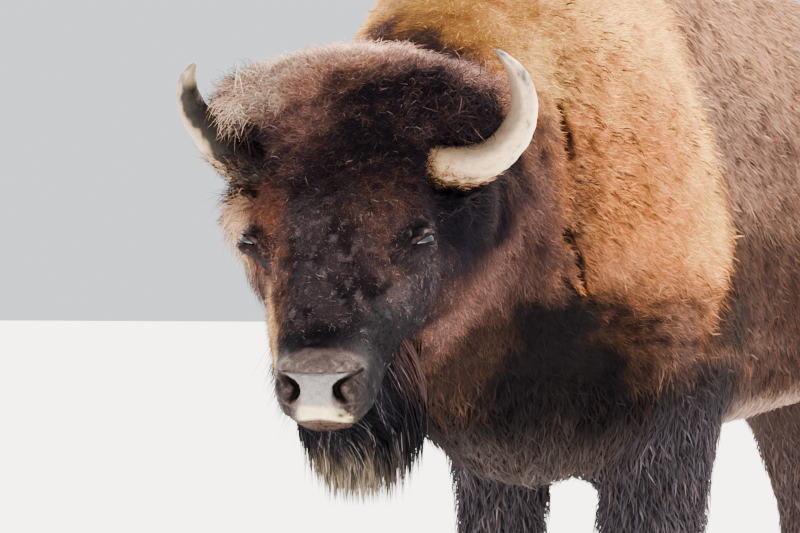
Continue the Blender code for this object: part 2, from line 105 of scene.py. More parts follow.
eyes = [sum(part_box(node), Vector()) / 2 for node in ("left_eye", "right_eye")]
between_eyes = (eyes[0] + eyes[1]) / 2
camera_data = bpy.data.cameras.new("camera")
camera_data.lens = 321.7
camera_data.sensor_width = 36
camera_data.clip_end = 200
camera = linked("camera", camera_data)
camera_turn = math.radians(30)
camera_distance, camera_height, aim_right = 10.0, 0.90, 0.088
camera_right = Vector((math.cos(camera_turn), math.sin(camera_turn), 0))
camera_ahead = Vector((-math.sin(camera_turn), math.cos(camera_turn), 0))
camera.location = between_eyes + camera_right * aim_right - camera_ahead * camera_distance
camera.location.z = camera_height
camera.rotation_euler = (math.pi / 2, 0, camera_turn)
scene.camera = camera

# ---------------------------------------------------------------- skin
# One closed hide for head, neck, trunk, legs, ears and tail, with no seam between them. It is
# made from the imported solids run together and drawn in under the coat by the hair's depth,
# and its face is made finer in steps, to model the nose, lips and eyelids.

# Places on the head are given along the face from the poll, to its left, and out of the brow.
# The head is pitched half a right angle and more, so the drop of a place is worked out too.

UP = Vector((0, 0, 1))
head_left = (eyes[0] - eyes[1]).normalized()
heading = head_left.cross(UP).normalized()
face_pitch = math.radians(50)
face = heading * math.cos(face_pitch) - UP * math.sin(face_pitch)
brow = heading * math.sin(face_pitch) + UP * math.cos(face_pitch)
eyes_past_poll, eyes_over_poll, eyes_aside = 0.201, 0.046, 0.0025
poll = between_eyes - face * eyes_past_poll - brow * eyes_over_poll + head_left * eyes_aside
nose_middle = -0.005
head_axes = np.array([face, head_left, brow])
face_a, left_a, brow_a = head_axes


def head_places(points):
    """Columns along the face, to the left, and out of the brow, for an array of points."""
    return ((points - np.array(poll)) @ head_axes.T).T


# One set of rules gives the skin, and later the coat, their depth of hair and their colours
# at any place on the animal, so that both carry the same markings and the same painted light and shade.


def unit(vectors):
    """The same directions with a length of 1."""
    return vectors / np.maximum(np.linalg.norm(vectors, axis=-1, keepdims=True), 1e-9)


def ramp(value, low, high):
    """Rises smoothly from 0 at the low value to 1 at the high one."""
    t = np.clip((value - low) / (high - low), 0, 1)
    return t * t * (3 - 2 * t)


def fall(value, low, high):
    """Falls smoothly from 1 at the low value to 0 at the high one."""
    return 1 - ramp(value, low, high)


def bump_at(value, middle, width):
    """1 at the middle value, falling off to both sides."""
    return np.exp(-(((value - middle) / width) ** 2))


def cloud(points, size, seed):
    """Smooth noise from -1 to 1 whose lumps are about the given size."""
    grid = points / size + 1000.0
    cell = np.floor(grid).astype(np.int64)
    part = grid - cell
    part = part * part * (3 - 2 * part)
    total = np.zeros(len(points))
    # Large odd factors scatter the eight corners of each cell over the whole range.
    for dx, dy, dz in itertools.product((0, 1), repeat=3):
        x, y, z = cell[:, 0] + dx, cell[:, 1] + dy, cell[:, 2] + dz
        scattered = (x * 73856093) ^ (y * 19349663) ^ (z * 83492791) ^ (seed * 2654435761)
        scattered = ((scattered ^ (scattered >> 13)) * 1274126177) & 0x7FFFFFFF
        scattered = ((scattered ^ (scattered >> 11)) * 668265263) & 0x7FFFFFFF
        share = np.where(dx, part[:, 0], 1 - part[:, 0])
        share = share * np.where(dy, part[:, 1], 1 - part[:, 1])
        share = share * np.where(dz, part[:, 2], 1 - part[:, 2])
        total += share * (scattered / 0x7FFFFFFF * 2 - 1)
    return total


ear_boxes = [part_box(node) for node in ("left_ear", "right_ear")]


def regions(points):
    """Shares from 0 to 1 of the animal's regions at each point, with its place on the head."""
    y, z = points[:, 1], points[:, 2]
    along, left, out = head_places(points)
    drop = -points[:, 2] + poll.z
    side = np.abs(left - nose_middle)

    # The head, its bare muzzle, the front of the face, and the bonnet.
    head = ramp(-y, 0.68, 0.76) * ramp(along, -0.24, -0.14)
    chin_line = 0.384 - 3.2 * side**2
    muzzle = head * ramp(along, 0.400, 0.414) * fall(drop, chin_line, chin_line + 0.006)
    muzzle = muzzle * fall(side, 0.062, 0.072)
    front = head * ramp(along, 0.12, 0.22)
    crown = head * fall(along - 0.5 * out, 0.06, 0.17) * ramp(z, 0.96, 1.05)

    # Where the woolly cape ends behind, at heights from the elbow to the top of the hump.
    cape_edge = np.interp(
        z, [0.55, 0.70, 0.76, 0.80, 0.84, 0.88, 0.95, 1.12, 1.30, 1.42, 1.55],
        [-0.16, -0.19, -0.25, -0.275, -0.25, -0.225, -0.205, -0.235, -0.235, -0.20, -0.14],
    )
    edge_noise = 0.016 * cloud(points, 0.06, 3) + 0.012 * cloud(points, 0.02, 4)
    rear = ramp(y - cape_edge + edge_noise, -0.022, 0.022)

    # The legs above and below the knee, the forequarters, and the ears.
    leg = fall(z, 0.54, 0.66) * (1 - head)
    low_leg = fall(z, 0.36, 0.44)
    fore = fall(y, 0.10, 0.30)
    ear = np.zeros(len(points))
    for low, high in ear_boxes:
        inside = np.ones(len(points))
        for k in range(3):
            inside *= ramp(points[:, k], low[k] - 0.012, low[k])
            inside *= fall(points[:, k], high[k], high[k] + 0.012)
        ear = np.maximum(ear, inside)
    ear = ear * ramp(np.abs(left), 0.165, 0.185)
    crown = crown * (1 - ear)
    return {
        "head": head, "muzzle": muzzle, "front": front, "crown": crown, "rear": rear, "ear": ear,
        "leg": leg, "low_leg": low_leg, "fore": fore, "along": along, "left": left, "out": out,
        "drop": drop,
    }


def coat_depth(points):
    """How far the skin lies below the outside of the coat."""
    r = regions(points)
    z = points[:, 2]
    depth = 0.013 + 0.005 * ramp(z, 1.2, 1.5)
    depth = depth + 0.008 * fall(z, 0.66, 0.80) * r["fore"]
    depth = depth + (0.010 - depth) * r["rear"]
    chaps = r["fore"] * ramp(z, 0.40, 0.47) * fall(z, 0.62, 0.72)
    depth = depth + (0.008 - depth) * r["leg"] * (1 - chaps)
    depth = depth + (0.024 - depth) * chaps * r["leg"]
    depth = depth + (0.003 - depth) * r["low_leg"]
    head_depth = 0.013 + (0.0040 - 0.013) * ramp(r["along"], 0.08, 0.24)
    head_depth = head_depth + (0.024 - head_depth) * r["crown"]
    head_depth = head_depth + (0.0005 - head_depth) * ramp(r["along"], 0.375, 0.405)
    depth = depth + (head_depth - depth) * r["head"]
    depth = depth + (0.005 - depth) * r["ear"]
    return depth


def srgb(*colour):
    """A paint colour, 0 to 255, as linear values."""
    c = np.array(colour, float) / 255
    return np.where(c <= 0.04045, c / 12.92, ((c + 0.055) / 1.055) ** 2.4)


def mixed(base, other, share):
    """Rows moved towards another colour or place by a share from 0 to 1."""
    return base + (other - base) * np.asarray(share)[:, None]


def crease_gap(points):
    """Distance in front (+) or behind (-) of the deep crease between neck and shoulder."""
    y, z = points[:, 1], points[:, 2]
    line = np.interp(
        z, [0.84, 0.86, 0.90, 0.96, 1.02, 1.08, 1.14, 1.22, 1.32],
        [-0.478, -0.500, -0.535, -0.566, -0.570, -0.560, -0.565, -0.545, -0.51],
    )
    return line - y + 0.010 * cloud(points, 0.045, 23) + 0.003 * cloud(points, 0.014, 24)


def crack_share(points, gap, width):
    """How far a place lies in one of the short narrow cracks along the crease."""
    z = points[:, 2]
    width = width * (1 + 0.5 * cloud(points, 0.016, 52))
    strength = np.interp(
        z, [0.83, 0.86, 0.95, 0.965, 1.00, 1.05, 1.065, 1.13, 1.15],
        [0.0, 1.0, 1.0, 0.15, 0.25, 0.35, 0.85, 0.85, 0.0],
    )
    second = bump_at(gap, 0.030 + 0.8 * (z - 0.87), width * 0.8) * bump_at(z, 0.872, 0.022)
    third = bump_at(gap, -0.022, width * 0.6) * bump_at(z, 0.960, 0.018)
    return np.maximum(bump_at(gap, 0.0, width) * strength, 0.8 * np.maximum(second, third))


def combed_places(points, lie, stretch):
    """Places squeezed along the lie of the coat, so that noise over them comes out as streaks."""
    x, y, z = points.T
    lie = math.radians(lie)
    forward = (y * math.cos(lie) - z * math.sin(lie)) * stretch
    return np.stack([x, forward, y * math.sin(lie) + z * math.cos(lie)], 1)


def body_colour(points, r):
    """Gold shoulder, plum and red-brown neck, grey-brown rear, and black below."""
    x, y, z = points.T
    n = len(points)
    streaks = combed_places(points, 56, 0.35)
    broad = cloud(points, 0.11, 11)
    small = cloud(points, 0.024, 12)
    fleck = cloud(streaks, 0.0055, 13)
    locks = cloud(streaks, 0.018, 15)
    matted = cloud(points, 0.010, 14)

    # Golden wool over the hump and shoulder, with painted highlights along its rear edge and on top.
    colour = np.tile(srgb(208, 122, 56), (n, 1))
    edge_highlight = ramp(y + 0.04 * small, -0.37, -0.26) * ramp(z, 0.86, 0.94)
    crest_highlight = ramp(z + 0.05 * broad, 1.10, 1.24)
    colour = mixed(colour, srgb(255, 172, 84), np.maximum(edge_highlight, crest_highlight) * 0.85)
    colour = mixed(colour, srgb(255, 184, 108), ramp(matted + 0.7 * fleck, 0.2, 1.2) * 0.6)
    colour = mixed(colour, srgb(140, 78, 38), ramp(locks + 0.8 * matted, 0.1, 1.1) * 0.6)
    colour = mixed(colour, srgb(84, 46, 26), ramp(small + 0.9 * fleck, 0.7, 1.4) * 0.7)

    # Brown flecks behind the crease with painted shade beside it, a duller neck in front of it, redder
    # towards the cheek.
    gap = crease_gap(points)
    low = fall(z + 0.03 * small, 1.10, 1.19)
    # A painted highlight high on the neck in front of the crease, where the sun falls on it.
    neck_highlight = bump_at(y, -0.575, 0.050) * bump_at(z, 1.175, 0.050)
    colour = mixed(colour, srgb(255, 184, 100), neck_highlight * 0.9)
    # Painted shade on the top of the neck just behind the bonnet.
    shade_behind_bonnet = fall(y + 0.02 * small, -0.668, -0.622) * ramp(z, 1.12, 1.18)
    colour = mixed(colour, srgb(66, 54, 60), shade_behind_bonnet * 0.95)
    # Painted shade in a band just behind the crease, which also darkens the flecks and holds back the
    # pale locks there.
    beside = bump_at(gap, -0.018, 0.062) * (1 - 0.8 * ramp(z, 1.00, 1.16)) * ramp(z, 0.86, 0.93)
    colour = mixed(colour, srgb(96, 64, 46), beside * 0.90)
    furrow = cloud(combed_places(points, 38, 0.22), 0.0062, 53) + 0.5 * cloud(streaks, 0.0050, 54)
    furrowed = (0.35 + 0.65 * ramp(gap, -0.18, -0.02)) * (1 - 0.6 * ramp(z, 1.14, 1.26))
    colour = mixed(colour, srgb(66, 36, 22), furrowed * ramp(furrow + 0.4 * beside, 0.22, 0.75) * 0.80)
    pale_lock = furrowed * ramp(-furrow - 0.5 * beside, 0.35, 1.0)
    colour = mixed(colour, srgb(255, 190, 116), pale_lock * (1 - 0.6 * beside) * 0.50)
    neck = ramp(gap + 0.014 * small + 0.006 * matted, -0.004, 0.050) * low
    upright = cloud(combed_places(points, 80, 0.25), 0.008, 17)
    colour = mixed(colour, srgb(104, 74, 64), neck * 0.95)
    colour = mixed(colour, srgb(58, 40, 38), neck * fall(z + 0.04 * small, 0.93, 1.06) * 0.9)
    red_line = np.interp(z, [0.73, 0.77, 0.85, 0.95, 1.02], [-0.70, -0.735, -0.725, -0.675, -0.64])
    red = bump_at(y + 0.012 * small, red_line, 0.050) * fall(z, 1.00, 1.07) * ramp(gap, 0.0, 0.03)
    colour = mixed(colour, srgb(104, 74, 68), red * 0.95)
    colour = mixed(colour, srgb(46, 30, 30), neck * ramp(upright + 0.5 * small, 0.05, 0.8) * 0.8)
    dark_line = np.interp(z, [0.90, 0.95, 1.00, 1.06, 1.12], [-0.72, -0.685, -0.632, -0.640, -0.68])
    dark_neck = fall(y + 0.02 * small, dark_line - 0.022, dark_line + 0.022) * ramp(z, 0.90, 0.95)
    dark_neck = dark_neck * fall(z, 1.06, 1.12)
    colour = mixed(colour, srgb(24, 20, 27), dark_neck * (0.9 + 0.3 * upright).clip(0, 1))
    tuft_spot = bump_at(y, -0.578, 0.014) * bump_at(z, 0.886, 0.020)
    colour = mixed(colour, srgb(128, 84, 56), tuft_spot * (0.5 + 0.6 * matted).clip(0, 1))

    # Grey-brown behind the cape's edge, in streaks, darker lower down and pale along the belly.
    grey = np.tile(srgb(116, 84, 70), (n, 1))
    grey = mixed(grey, srgb(170, 118, 86), ramp(z + 0.08 * broad, 1.06, 1.28) * 0.85)
    lower = z + 0.05 * broad + 0.45 * (-0.05 - y).clip(-0.2, 0)
    grey = mixed(grey, srgb(54, 35, 29), fall(lower, 0.89, 1.09) * 0.92)
    back_streaks = combed_places(points, 122, 0.22)
    strands = cloud(back_streaks, 0.0050, 26) + 0.45 * cloud(back_streaks, 0.011, 27)
    calm = 1 - 0.55 * ramp(y, 0.05, 0.35)
    grey = mixed(grey, srgb(70, 50, 42), 0.45 * ramp(y, 0.05, 0.35))
    grey = mixed(grey, srgb(32, 22, 20), ramp(strands, 0.0, 0.7) * 0.85 * calm)
    grey = mixed(grey, srgb(186, 138, 110), ramp(-strands, 0.2, 0.9) * ramp(z, 0.90, 1.05) * 0.6 * calm)
    level = cloud(points * np.array([1.0, 0.25, 1.0]) + 0.01 * broad[:, None], 0.012, 28)
    waist = bump_at(z, 0.80, 0.055) * ramp(y, -0.20, -0.12)
    grey = mixed(grey, srgb(110, 86, 78), waist * ramp(level, 0.1, 0.9) * 0.4)
    thigh = ramp(y, 0.28, 0.45) * fall(z + 0.05 * small, 0.78, 1.02)
    grey = mixed(grey, srgb(62, 50, 48), thigh * 0.85)
    belly = fall(z + 0.012 * small, 0.698, 0.728) * ramp(y, -0.14, -0.02) * fall(y, 0.45, 0.6)
    grey = mixed(grey, srgb(150, 122, 108), belly * 0.75)
    elbow = bump_at(y, -0.165, 0.035) * fall(z + 0.02 * small, 0.82, 0.90) * ramp(z, 0.66, 0.72)
    grey = mixed(grey, srgb(34, 28, 28), elbow * 0.92)
    colour = mixed(colour, grey, r["rear"])

    # Towards the cape's foot the gold turns brown, then red-brown with wavy marks, then black.
    further = 0.11 * fall(z, 0.73, 0.82)
    front_part = fall(y + 0.02 * small - further, -0.20, -0.13)
    # How high the gold wool's foot lies, from the throat back to the elbow.
    foot = np.interp(
        y, [-0.60, -0.56, -0.48, -0.40, -0.33, -0.25],
        [0.845, 0.850, 0.895, 0.878, 0.862, 0.845],
    )
    foot = foot + 0.022 * broad + 0.016 * small + 0.008 * matted
    front_part = front_part * (1 - r["rear"] * ramp(z, 0.76, 0.79))
    brown = fall(z, foot - 0.010, foot + 0.055) * front_part * ramp(-gap, -0.01, 0.03)
    colour = mixed(colour, srgb(140, 92, 64), brown * 0.85)
    russet = fall(z, foot - 0.050, foot + 0.012) * front_part
    warm = np.tile(srgb(52, 34, 28), (n, 1))
    warm = mixed(warm, srgb(92, 66, 56), ramp(y + 0.03 * small, -0.39, -0.32))
    warm = mixed(warm, srgb(70, 54, 52), ramp(y + 0.02 * small, -0.32, -0.28))
    colour = colour + (warm - colour) * (russet * 0.92)[:, None]
    wavy = points * np.array([0.5, 0.22, 1.0]) + 0.010 * small[:, None]
    waves = cloud(wavy, 0.0065, 25) + 0.6 * cloud(combed_places(points, 20, 0.3), 0.012, 55)
    marks = np.maximum(russet, 0.8 * brown * ramp(-z, -0.90, -0.86))
    colour = mixed(colour, srgb(20, 13, 14), marks * ramp(waves, -0.1, 0.6) * 0.85)
    colour = mixed(colour, srgb(122, 86, 66), russet * ramp(-waves, 0.4, 1.0) * 0.45)
    ragged = 0.022 * broad + 0.018 * small + 0.010 * matted
    black_top = np.interp(y, [-0.48, -0.43, -0.38, -0.28], [0.785, 0.755, 0.720, 0.700])
    black_fade = 0.065 + 0.3 * (y + 0.45).clip(0, 0.15)
    black = fall(z + ragged, black_top, black_top + black_fade) * front_part
    left_edge = np.interp(z, [0.69, 0.73, 0.84, 0.87], [-0.575, -0.600, -0.655, -0.665]) + 0.8 * ragged
    patch = fall(z + ragged, 0.835, 0.868) * ramp(y, left_edge - 0.015, left_edge + 0.025)
    patch = patch * fall(y + ragged, -0.50, -0.42)
    black = np.maximum(black, patch) * ramp(y, left_edge - 0.025, left_edge + 0.025)
    olive = fall(z + ragged, 0.79, 0.86) * fall(y, left_edge - 0.025, left_edge + 0.025)
    olive = olive * ramp(y + 0.012 * small, -0.705, -0.665)
    colour = mixed(colour, srgb(46, 32, 28), olive * (0.85 + 0.3 * locks).clip(0, 1))
    colour = mixed(colour, srgb(30, 20, 20), olive * ramp(upright, 0.1, 0.8) * 0.6)
    colour = mixed(colour, srgb(14, 12, 15), black * 0.97)

    # The brisket is dark grey with a paler lower edge, partly painted light from below; the legs are
    # blackish.
    chest = fall(y, -0.34, -0.24)
    brisket = fall(z + 0.02 * small, 0.63, 0.70) * chest
    colour = mixed(colour, srgb(52, 44, 43), brisket * 0.85)
    # The paler lower edge is partly the hair's own colour and partly painted light from below.
    fringe = fall(z - 0.25 * (-0.40 - y).clip(0, 1) + 0.01 * small, 0.575, 0.635) * chest
    colour = mixed(colour, srgb(92, 82, 78), fringe * (0.5 + 0.6 * matted).clip(0, 1))
    legs = np.tile(srgb(54, 49, 54), (n, 1))
    legs = mixed(legs, srgb(66, 54, 52), ramp(y, 0.10, 0.30) * 0.8)
    legs = mixed(legs, srgb(116, 107, 112), ramp(fleck + 0.6 * small, 0.3, 1.0) * 0.5)
    low_part = fall(z + 0.02 * small, 0.66, 0.76) * (1 - chest) * fall(y, -0.02, 0.06)
    leg_share = np.maximum(r["leg"] * (1 - brisket * ramp(z, 0.55, 0.58)), low_part)
    colour = mixed(colour, legs, leg_share * 0.96)
    # Painted shade: the cracks along the crease are painted near black.
    split = ramp(crack_share(points, gap, 0.0115), 0.22, 0.55) * ramp(np.abs(x), 0.06, 0.12)
    return mixed(colour, srgb(9, 6, 7), split * 0.97)


def face_colour(points, r):
    """Plum and black face with rusty patches, a bonnet with a partly painted pale top, and painted
    light on its far edges.
    """
    z = points[:, 2]
    n = len(points)
    along, left, out, drop = r["along"], r["left"], r["out"], r["drop"]
    small = cloud(points, 0.024, 12)
    curl = cloud(points, 0.0065, 16)
    clump = cloud(points, 0.014, 18)

    # Plum and black curls, a brown throat, and rusty patches beside the brow and on the cheek.
    hide = np.tile(srgb(58, 47, 50), (n, 1))
    hide = mixed(hide, srgb(20, 16, 21), ramp(small + 0.8 * clump, -0.4, 0.6) * 0.9)
    hide = mixed(hide, srgb(112, 96, 98), ramp(curl + 0.7 * clump, 0.30, 1.0) * r["front"] * 0.65)
    throat = ramp(-out + 0.02 * small + 0.01 * clump, 0.068, 0.125) * ramp(drop, 0.12, 0.20)
    hide = mixed(hide, srgb(122, 84, 73), throat * (0.85 + 0.3 * small).clip(0, 1))
    hide = mixed(hide, srgb(44, 28, 28), throat * ramp(curl + clump, 0.2, 1.0) * 0.7)
    rust = ramp(-left, 0.055, 0.095) * ramp(along, 0.035, 0.10) * fall(along, 0.20, 0.29)
    rust = rust * fall(-out, 0.0, 0.06)
    hide = mixed(hide, srgb(122, 74, 56), rust * (0.60 + 0.7 * curl).clip(0, 1))
    near_rust = bump_at(left, 0.060, 0.046) * bump_at(along, 0.130, 0.070) * ramp(out, 0.03, 0.07)
    hide = mixed(hide, srgb(104, 66, 54), near_rust * (0.45 + 0.8 * curl + 0.4 * small).clip(0, 1))
    cheek = bump_at(left, 0.085, 0.040) * bump_at(along, 0.235, 0.06) * ramp(out, -0.02, 0.03)
    hide = mixed(hide, srgb(88, 58, 50), cheek * (0.4 + 0.8 * curl).clip(0, 1))

    # Painted light: sunlit buff hair down the far edge of the face, fading in towards its middle.
    edge = 0.081 - 0.2 * (along - 0.3)
    far_edge = ramp(-left + 0.005 * small + 0.003 * curl, edge, edge + 0.012)
    slant = along + 0.4 * (0.09 + left).clip(-0.05, 0.05)
    far_edge = far_edge * ramp(slant, 0.215, 0.250) * fall(along, 0.385, 0.41)
    far_edge = far_edge * ramp(out + 0.014 * small + 0.010 * clump, -0.036, -0.008)
    hide = mixed(hide, srgb(255, 190, 128), far_edge * 0.95)
    hide = mixed(hide, srgb(110, 70, 48), far_edge * ramp(curl + 0.4 * clump, 0.1, 0.8) * 0.7)
    fade = ramp(-left, 0.045, 0.085) * ramp(along, 0.20, 0.27) * ramp(out, -0.01, 0.03)
    hide = mixed(hide, srgb(134, 88, 62), fade * (1 - far_edge) * (0.35 + 0.8 * curl).clip(0, 1))

    # The near temple is black, and the far one is painted pale with light.
    temple = bump_at(along, 0.07, 0.11) * ramp(left, 0.090, 0.125) * fall(-out, 0.10, 0.14)
    hide = mixed(hide, srgb(19, 17, 25), temple * 0.95)
    hide = mixed(hide, srgb(62, 52, 64), temple * ramp(curl + clump, 0.5, 1.2) * 0.6)
    behind = (np.array(poll) - points) @ np.array(heading)
    in_front = fall(behind + 0.016 * small + 0.012 * clump, -0.060, -0.015)
    pale_temple = ramp(-left + 0.01 * small, 0.135, 0.155) * fall(along, 0.16, 0.20) * in_front
    hide = mixed(hide, srgb(244, 190, 150), pale_temple * (0.85 + 0.35 * clump).clip(0, 0.95))

    # The bonnet is near black, with a paler forelock and a pinkish-brown top that is partly painted
    # light, palest on the far side.
    wool = np.tile(srgb(26, 20, 25), (n, 1))
    wool = mixed(wool, srgb(78, 54, 50), ramp(clump + 0.7 * curl, 0.2, 1.1) * 0.6)
    # How high the wool stands, from the far side of the bonnet to the near one.
    crest = np.interp(
        left, [-0.20, -0.135, -0.11, -0.03, 0.06, 0.12, 0.165, 0.215],
        [1.092, 1.122, 1.133, 1.170, 1.184, 1.190, 1.166, 1.136],
    )
    top = ramp(z + 0.016 * small + 0.010 * clump, crest - 0.026, crest + 0.020)
    forelock = bump_at(left, -0.062, 0.038) * ramp(z + 0.02 * small, 1.01, 1.12)
    wool = mixed(wool, srgb(128, 88, 80), forelock * (0.65 + 0.7 * clump + 0.4 * curl).clip(0, 1))
    pale = np.tile(srgb(255, 208, 178), (n, 1))
    pale = mixed(pale, srgb(184, 120, 96), ramp(left, -0.13, -0.06) * 0.9)
    pale = mixed(pale, srgb(128, 92, 86), ramp(left, -0.02, 0.08) * 0.9)
    pale = mixed(pale, srgb(46, 32, 34), ramp(clump + 0.8 * curl + 0.3 * small, 0.20, 0.9) * 0.85)
    # A painted highlight along the bonnet's upper edge.
    lit_edge = ramp(z + 0.010 * clump + 0.006 * curl, crest + 0.006, crest + 0.034)
    pale = mixed(pale, srgb(226, 172, 146), lit_edge * 0.7)
    top = top * (1 - (1 - in_front) * ramp(-left, 0.10, 0.16) * 0.9)
    pale = mixed(pale, srgb(112, 82, 74), ramp(behind, 0.01, 0.07) * 0.8)
    wool = wool + (pale - wool) * (top * (0.95 + 0.3 * curl).clip(0, 1))[:, None]
    hide = mixed(hide, wool, r["crown"])

    # Dark rings round the eyes, painted shade in the hollow under the far one, and grey behind the near
    # one.
    for eye in eyes:
        away = np.linalg.norm(points - np.array(eye - UP * 0.010), axis=1)
        near_eye = fall(away + 0.008 * small, 0.030, 0.054)
        hide = mixed(hide, srgb(24, 20, 25), near_eye * 0.92 * (0.45 if eye == eyes[1] else 1.0))
        hide = mixed(hide, srgb(92, 80, 86), near_eye * ramp(curl + small, 0.5, 1.1) * 0.5)
    # Painted shade in the hollow under the far eye.
    far_bag = np.linalg.norm(points - np.array(eyes[1] - UP * 0.026 + head_left * 0.010), axis=1)
    hide = mixed(hide, srgb(22, 17, 19), fall(far_bag + 0.003 * curl, 0.014, 0.022) * 0.97)
    behind_eye = bump_at(left, 0.150, 0.016) * bump_at(along, 0.165, 0.035) * ramp(out, 0.0, 0.04)
    hide = mixed(hide, srgb(84, 74, 78), behind_eye * (0.5 + 0.8 * curl).clip(0, 1))

    # Black jaw and sides of the nose, a blackish-brown near ear, and a far ear painted paler with
    # light.
    jaw = np.maximum(ramp(-out, 0.02, 0.06), ramp(left, 0.048, 0.066))
    jaw = jaw * ramp(drop + 0.02 * small, 0.165, 0.235)
    jaw = jaw * (1 - far_edge) * fall(-out, 0.130, 0.160)
    hide = mixed(hide, srgb(17, 14, 20), jaw * 0.94)
    hide = mixed(hide, srgb(70, 66, 78), jaw * ramp(curl + clump, 0.5, 1.2) * 0.5)
    beside_nose = bump_at(left, 0.082, 0.022) * bump_at(drop, 0.275, 0.045)
    hide = mixed(hide, srgb(8, 7, 10), beside_nose * 0.85)
    over_nose = bump_at(along, 0.384, 0.024) * ramp(out, 0.0, 0.04)
    hide = mixed(hide, srgb(20, 18, 25), over_nose * 0.85)
    # The far ear is painted paler with light.
    ear_tone = mixed(np.tile(srgb(30, 24, 27), (n, 1)), srgb(148, 106, 88), left < 0)
    return hide + (ear_tone - hide) * (r["ear"] * 0.9)[:, None]


def nose_colour(points, r):
    """The bare nose: a grey-brown top, a pale leathery pad between the nostrils, cream lips partly
    painted with light.
    """
    n = len(points)
    left, drop = r["left"], r["drop"]
    side = left - nose_middle
    small = cloud(points, 0.024, 12)
    mottle = cloud(points, 0.009, 19) + 0.6 * cloud(points, 0.0045, 20)
    fine = cloud(points, 0.0028, 29)

    # Mottled grey-brown on top, darker on the wings of the nostrils and down the near edge.
    nose = np.tile(srgb(88, 73, 70), (n, 1))
    nose = mixed(nose, srgb(136, 116, 108), ramp(mottle + 0.4 * fine, 0.1, 1.0) * 0.7)
    nose = mixed(nose, srgb(44, 34, 37), ramp(-mottle + 0.4 * fine, 0.2, 1.1) * 0.75)
    wing = ramp(np.abs(side), 0.026, 0.042) * ramp(drop, 0.306, 0.318)
    nose = mixed(nose, srgb(34, 27, 27), wing * 0.92)
    nose = mixed(nose, srgb(96, 76, 68), wing * ramp(fine + 0.7 * mottle, 0.10, 1.1) * 0.6)
    near_edge = ramp(side + 0.002 * small, 0.047, 0.060)
    nose = mixed(nose, srgb(28, 23, 25), near_edge * 0.9)

    # The pad, by half its width from its top edge down between the nostrils to the lip.
    pad_half = np.interp(
        drop, [0.298, 0.308, 0.318, 0.328, 0.340, 0.352, 0.362],
        [0.050, 0.043, 0.031, 0.024, 0.019, 0.023, 0.028],
    )
    pad_half = pad_half + 0.0025 * small
    pad = ramp(drop + 2.2 * side**2 + 0.002 * small, 0.306, 0.309)
    pad = pad * fall(np.abs(side), pad_half - 0.003, pad_half + 0.004)
    pad = pad * fall(drop, 0.372, 0.378)
    leather = srgb(140, 134, 131) * (1 + 0.10 * mottle + 0.10 * fine)[:, None].clip(0.75, 1.2)
    nose = nose + (leather - nose) * pad[:, None]
    # Painted shade along the crease over the top of the pad.
    pad_crease_shade = bump_at(drop, 0.3075 - 1.2 * side**2 + 0.001 * small, 0.0016) * (np.abs(side) < 0.055)
    nose = mixed(nose, srgb(34, 24, 24), pad_crease_shade * (0.75 + 0.5 * mottle).clip(0, 1))

    # The cream lip below the pad, partly its own colour and partly painted light from below, with one
    # dark spot, and the brown hair under it.
    lip_half = np.interp(drop, [0.346, 0.358, 0.368, 0.376, 0.380], [0.018, 0.036, 0.044, 0.036, 0.020])
    lip_half = lip_half + 0.005 * small + 0.002 * fine
    lip = ramp(drop + 0.006 * small, 0.349, 0.361)
    lip = lip * fall(np.abs(side - 0.003), lip_half - 0.005, lip_half + 0.005)
    lip = lip * fall(drop - 6.0 * side**2, 0.367, 0.373)
    lip = lip * ramp(side + 0.003 * small, -0.028, -0.019)
    nose = mixed(nose, srgb(255, 228, 172), lip * (0.95 + 0.35 * small).clip(0, 1))
    nose = mixed(nose, srgb(196, 160, 130), lip * ramp(fine + 0.5 * mottle, 0.4, 1.0) * 0.6)
    spot = bump_at(side, 0.033, 0.006) * bump_at(drop, 0.3655, 0.0042)
    nose = mixed(nose, srgb(48, 32, 32), spot)
    under = ramp(drop - 3.0 * side**2, 0.3685, 0.3735)
    nose = mixed(nose, srgb(74, 52, 42), under * 0.94)
    return mixed(nose, srgb(26, 19, 21), under * ramp(fine + 0.5 * mottle, -0.1, 0.6) * 0.85)


def coat_colour(points):
    """Linear colour of the coat, and of the bare nose, at each point."""
    r = regions(points)
    head = face_colour(points, r)
    head = head + (nose_colour(points, r) - head) * r["muzzle"][:, None]
    body = body_colour(points, r)
    return np.clip(body + (head - body) * r["head"][:, None], 0.002, 1)


def mesh_of(form, name):
    """A mesh of a form that is then no longer needed."""
    mesh = bpy.data.meshes.new(name)
    form.to_mesh(mesh)
    form.free()
    return mesh


flesh = ["head", "neck", "trunk", "tail", "left_ear", "right_ear"]
flesh += ["left_foreleg", "right_foreleg", "left_hind_leg", "right_hind_leg"]
skin_form = bmesh.new()
for node in flesh:
    skin_form.from_mesh(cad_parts[node].data)
skin = linked("skin", mesh_of(skin_form, "skin"))
remesh = skin.modifiers.new("fuse", "REMESH")
remesh.mode = "VOXEL"
remesh.voxel_size = 0.0110
soften = skin.modifiers.new("soften", "SMOOTH")
soften.factor = 0.5
soften.iterations = 5
bpy.context.view_layer.update()
graph = bpy.context.evaluated_depsgraph_get()
skin.data = bpy.data.meshes.new_from_object(skin.evaluated_get(graph))
skin.modifiers.clear()


def rows_of(items, name, width, kind=np.float32):
    """One property of every item of a mesh, as an array with a row for each."""
    found = np.empty(len(items) * width, kind)
    items.foreach_get(name, found)
    return found.reshape(-1, width)


def mesh_points(mesh):
    """Where the vertices are."""
    return rows_of(mesh.vertices, "co", 3).astype(float)


def mesh_normals(mesh):
    """Which way the surface faces at the vertices."""
    return rows_of(mesh.vertex_normals, "vector", 3).astype(float)


def mesh_edges(mesh):
    """The two vertices of every edge."""
    return rows_of(mesh.edges, "vertices", 2, np.int32)


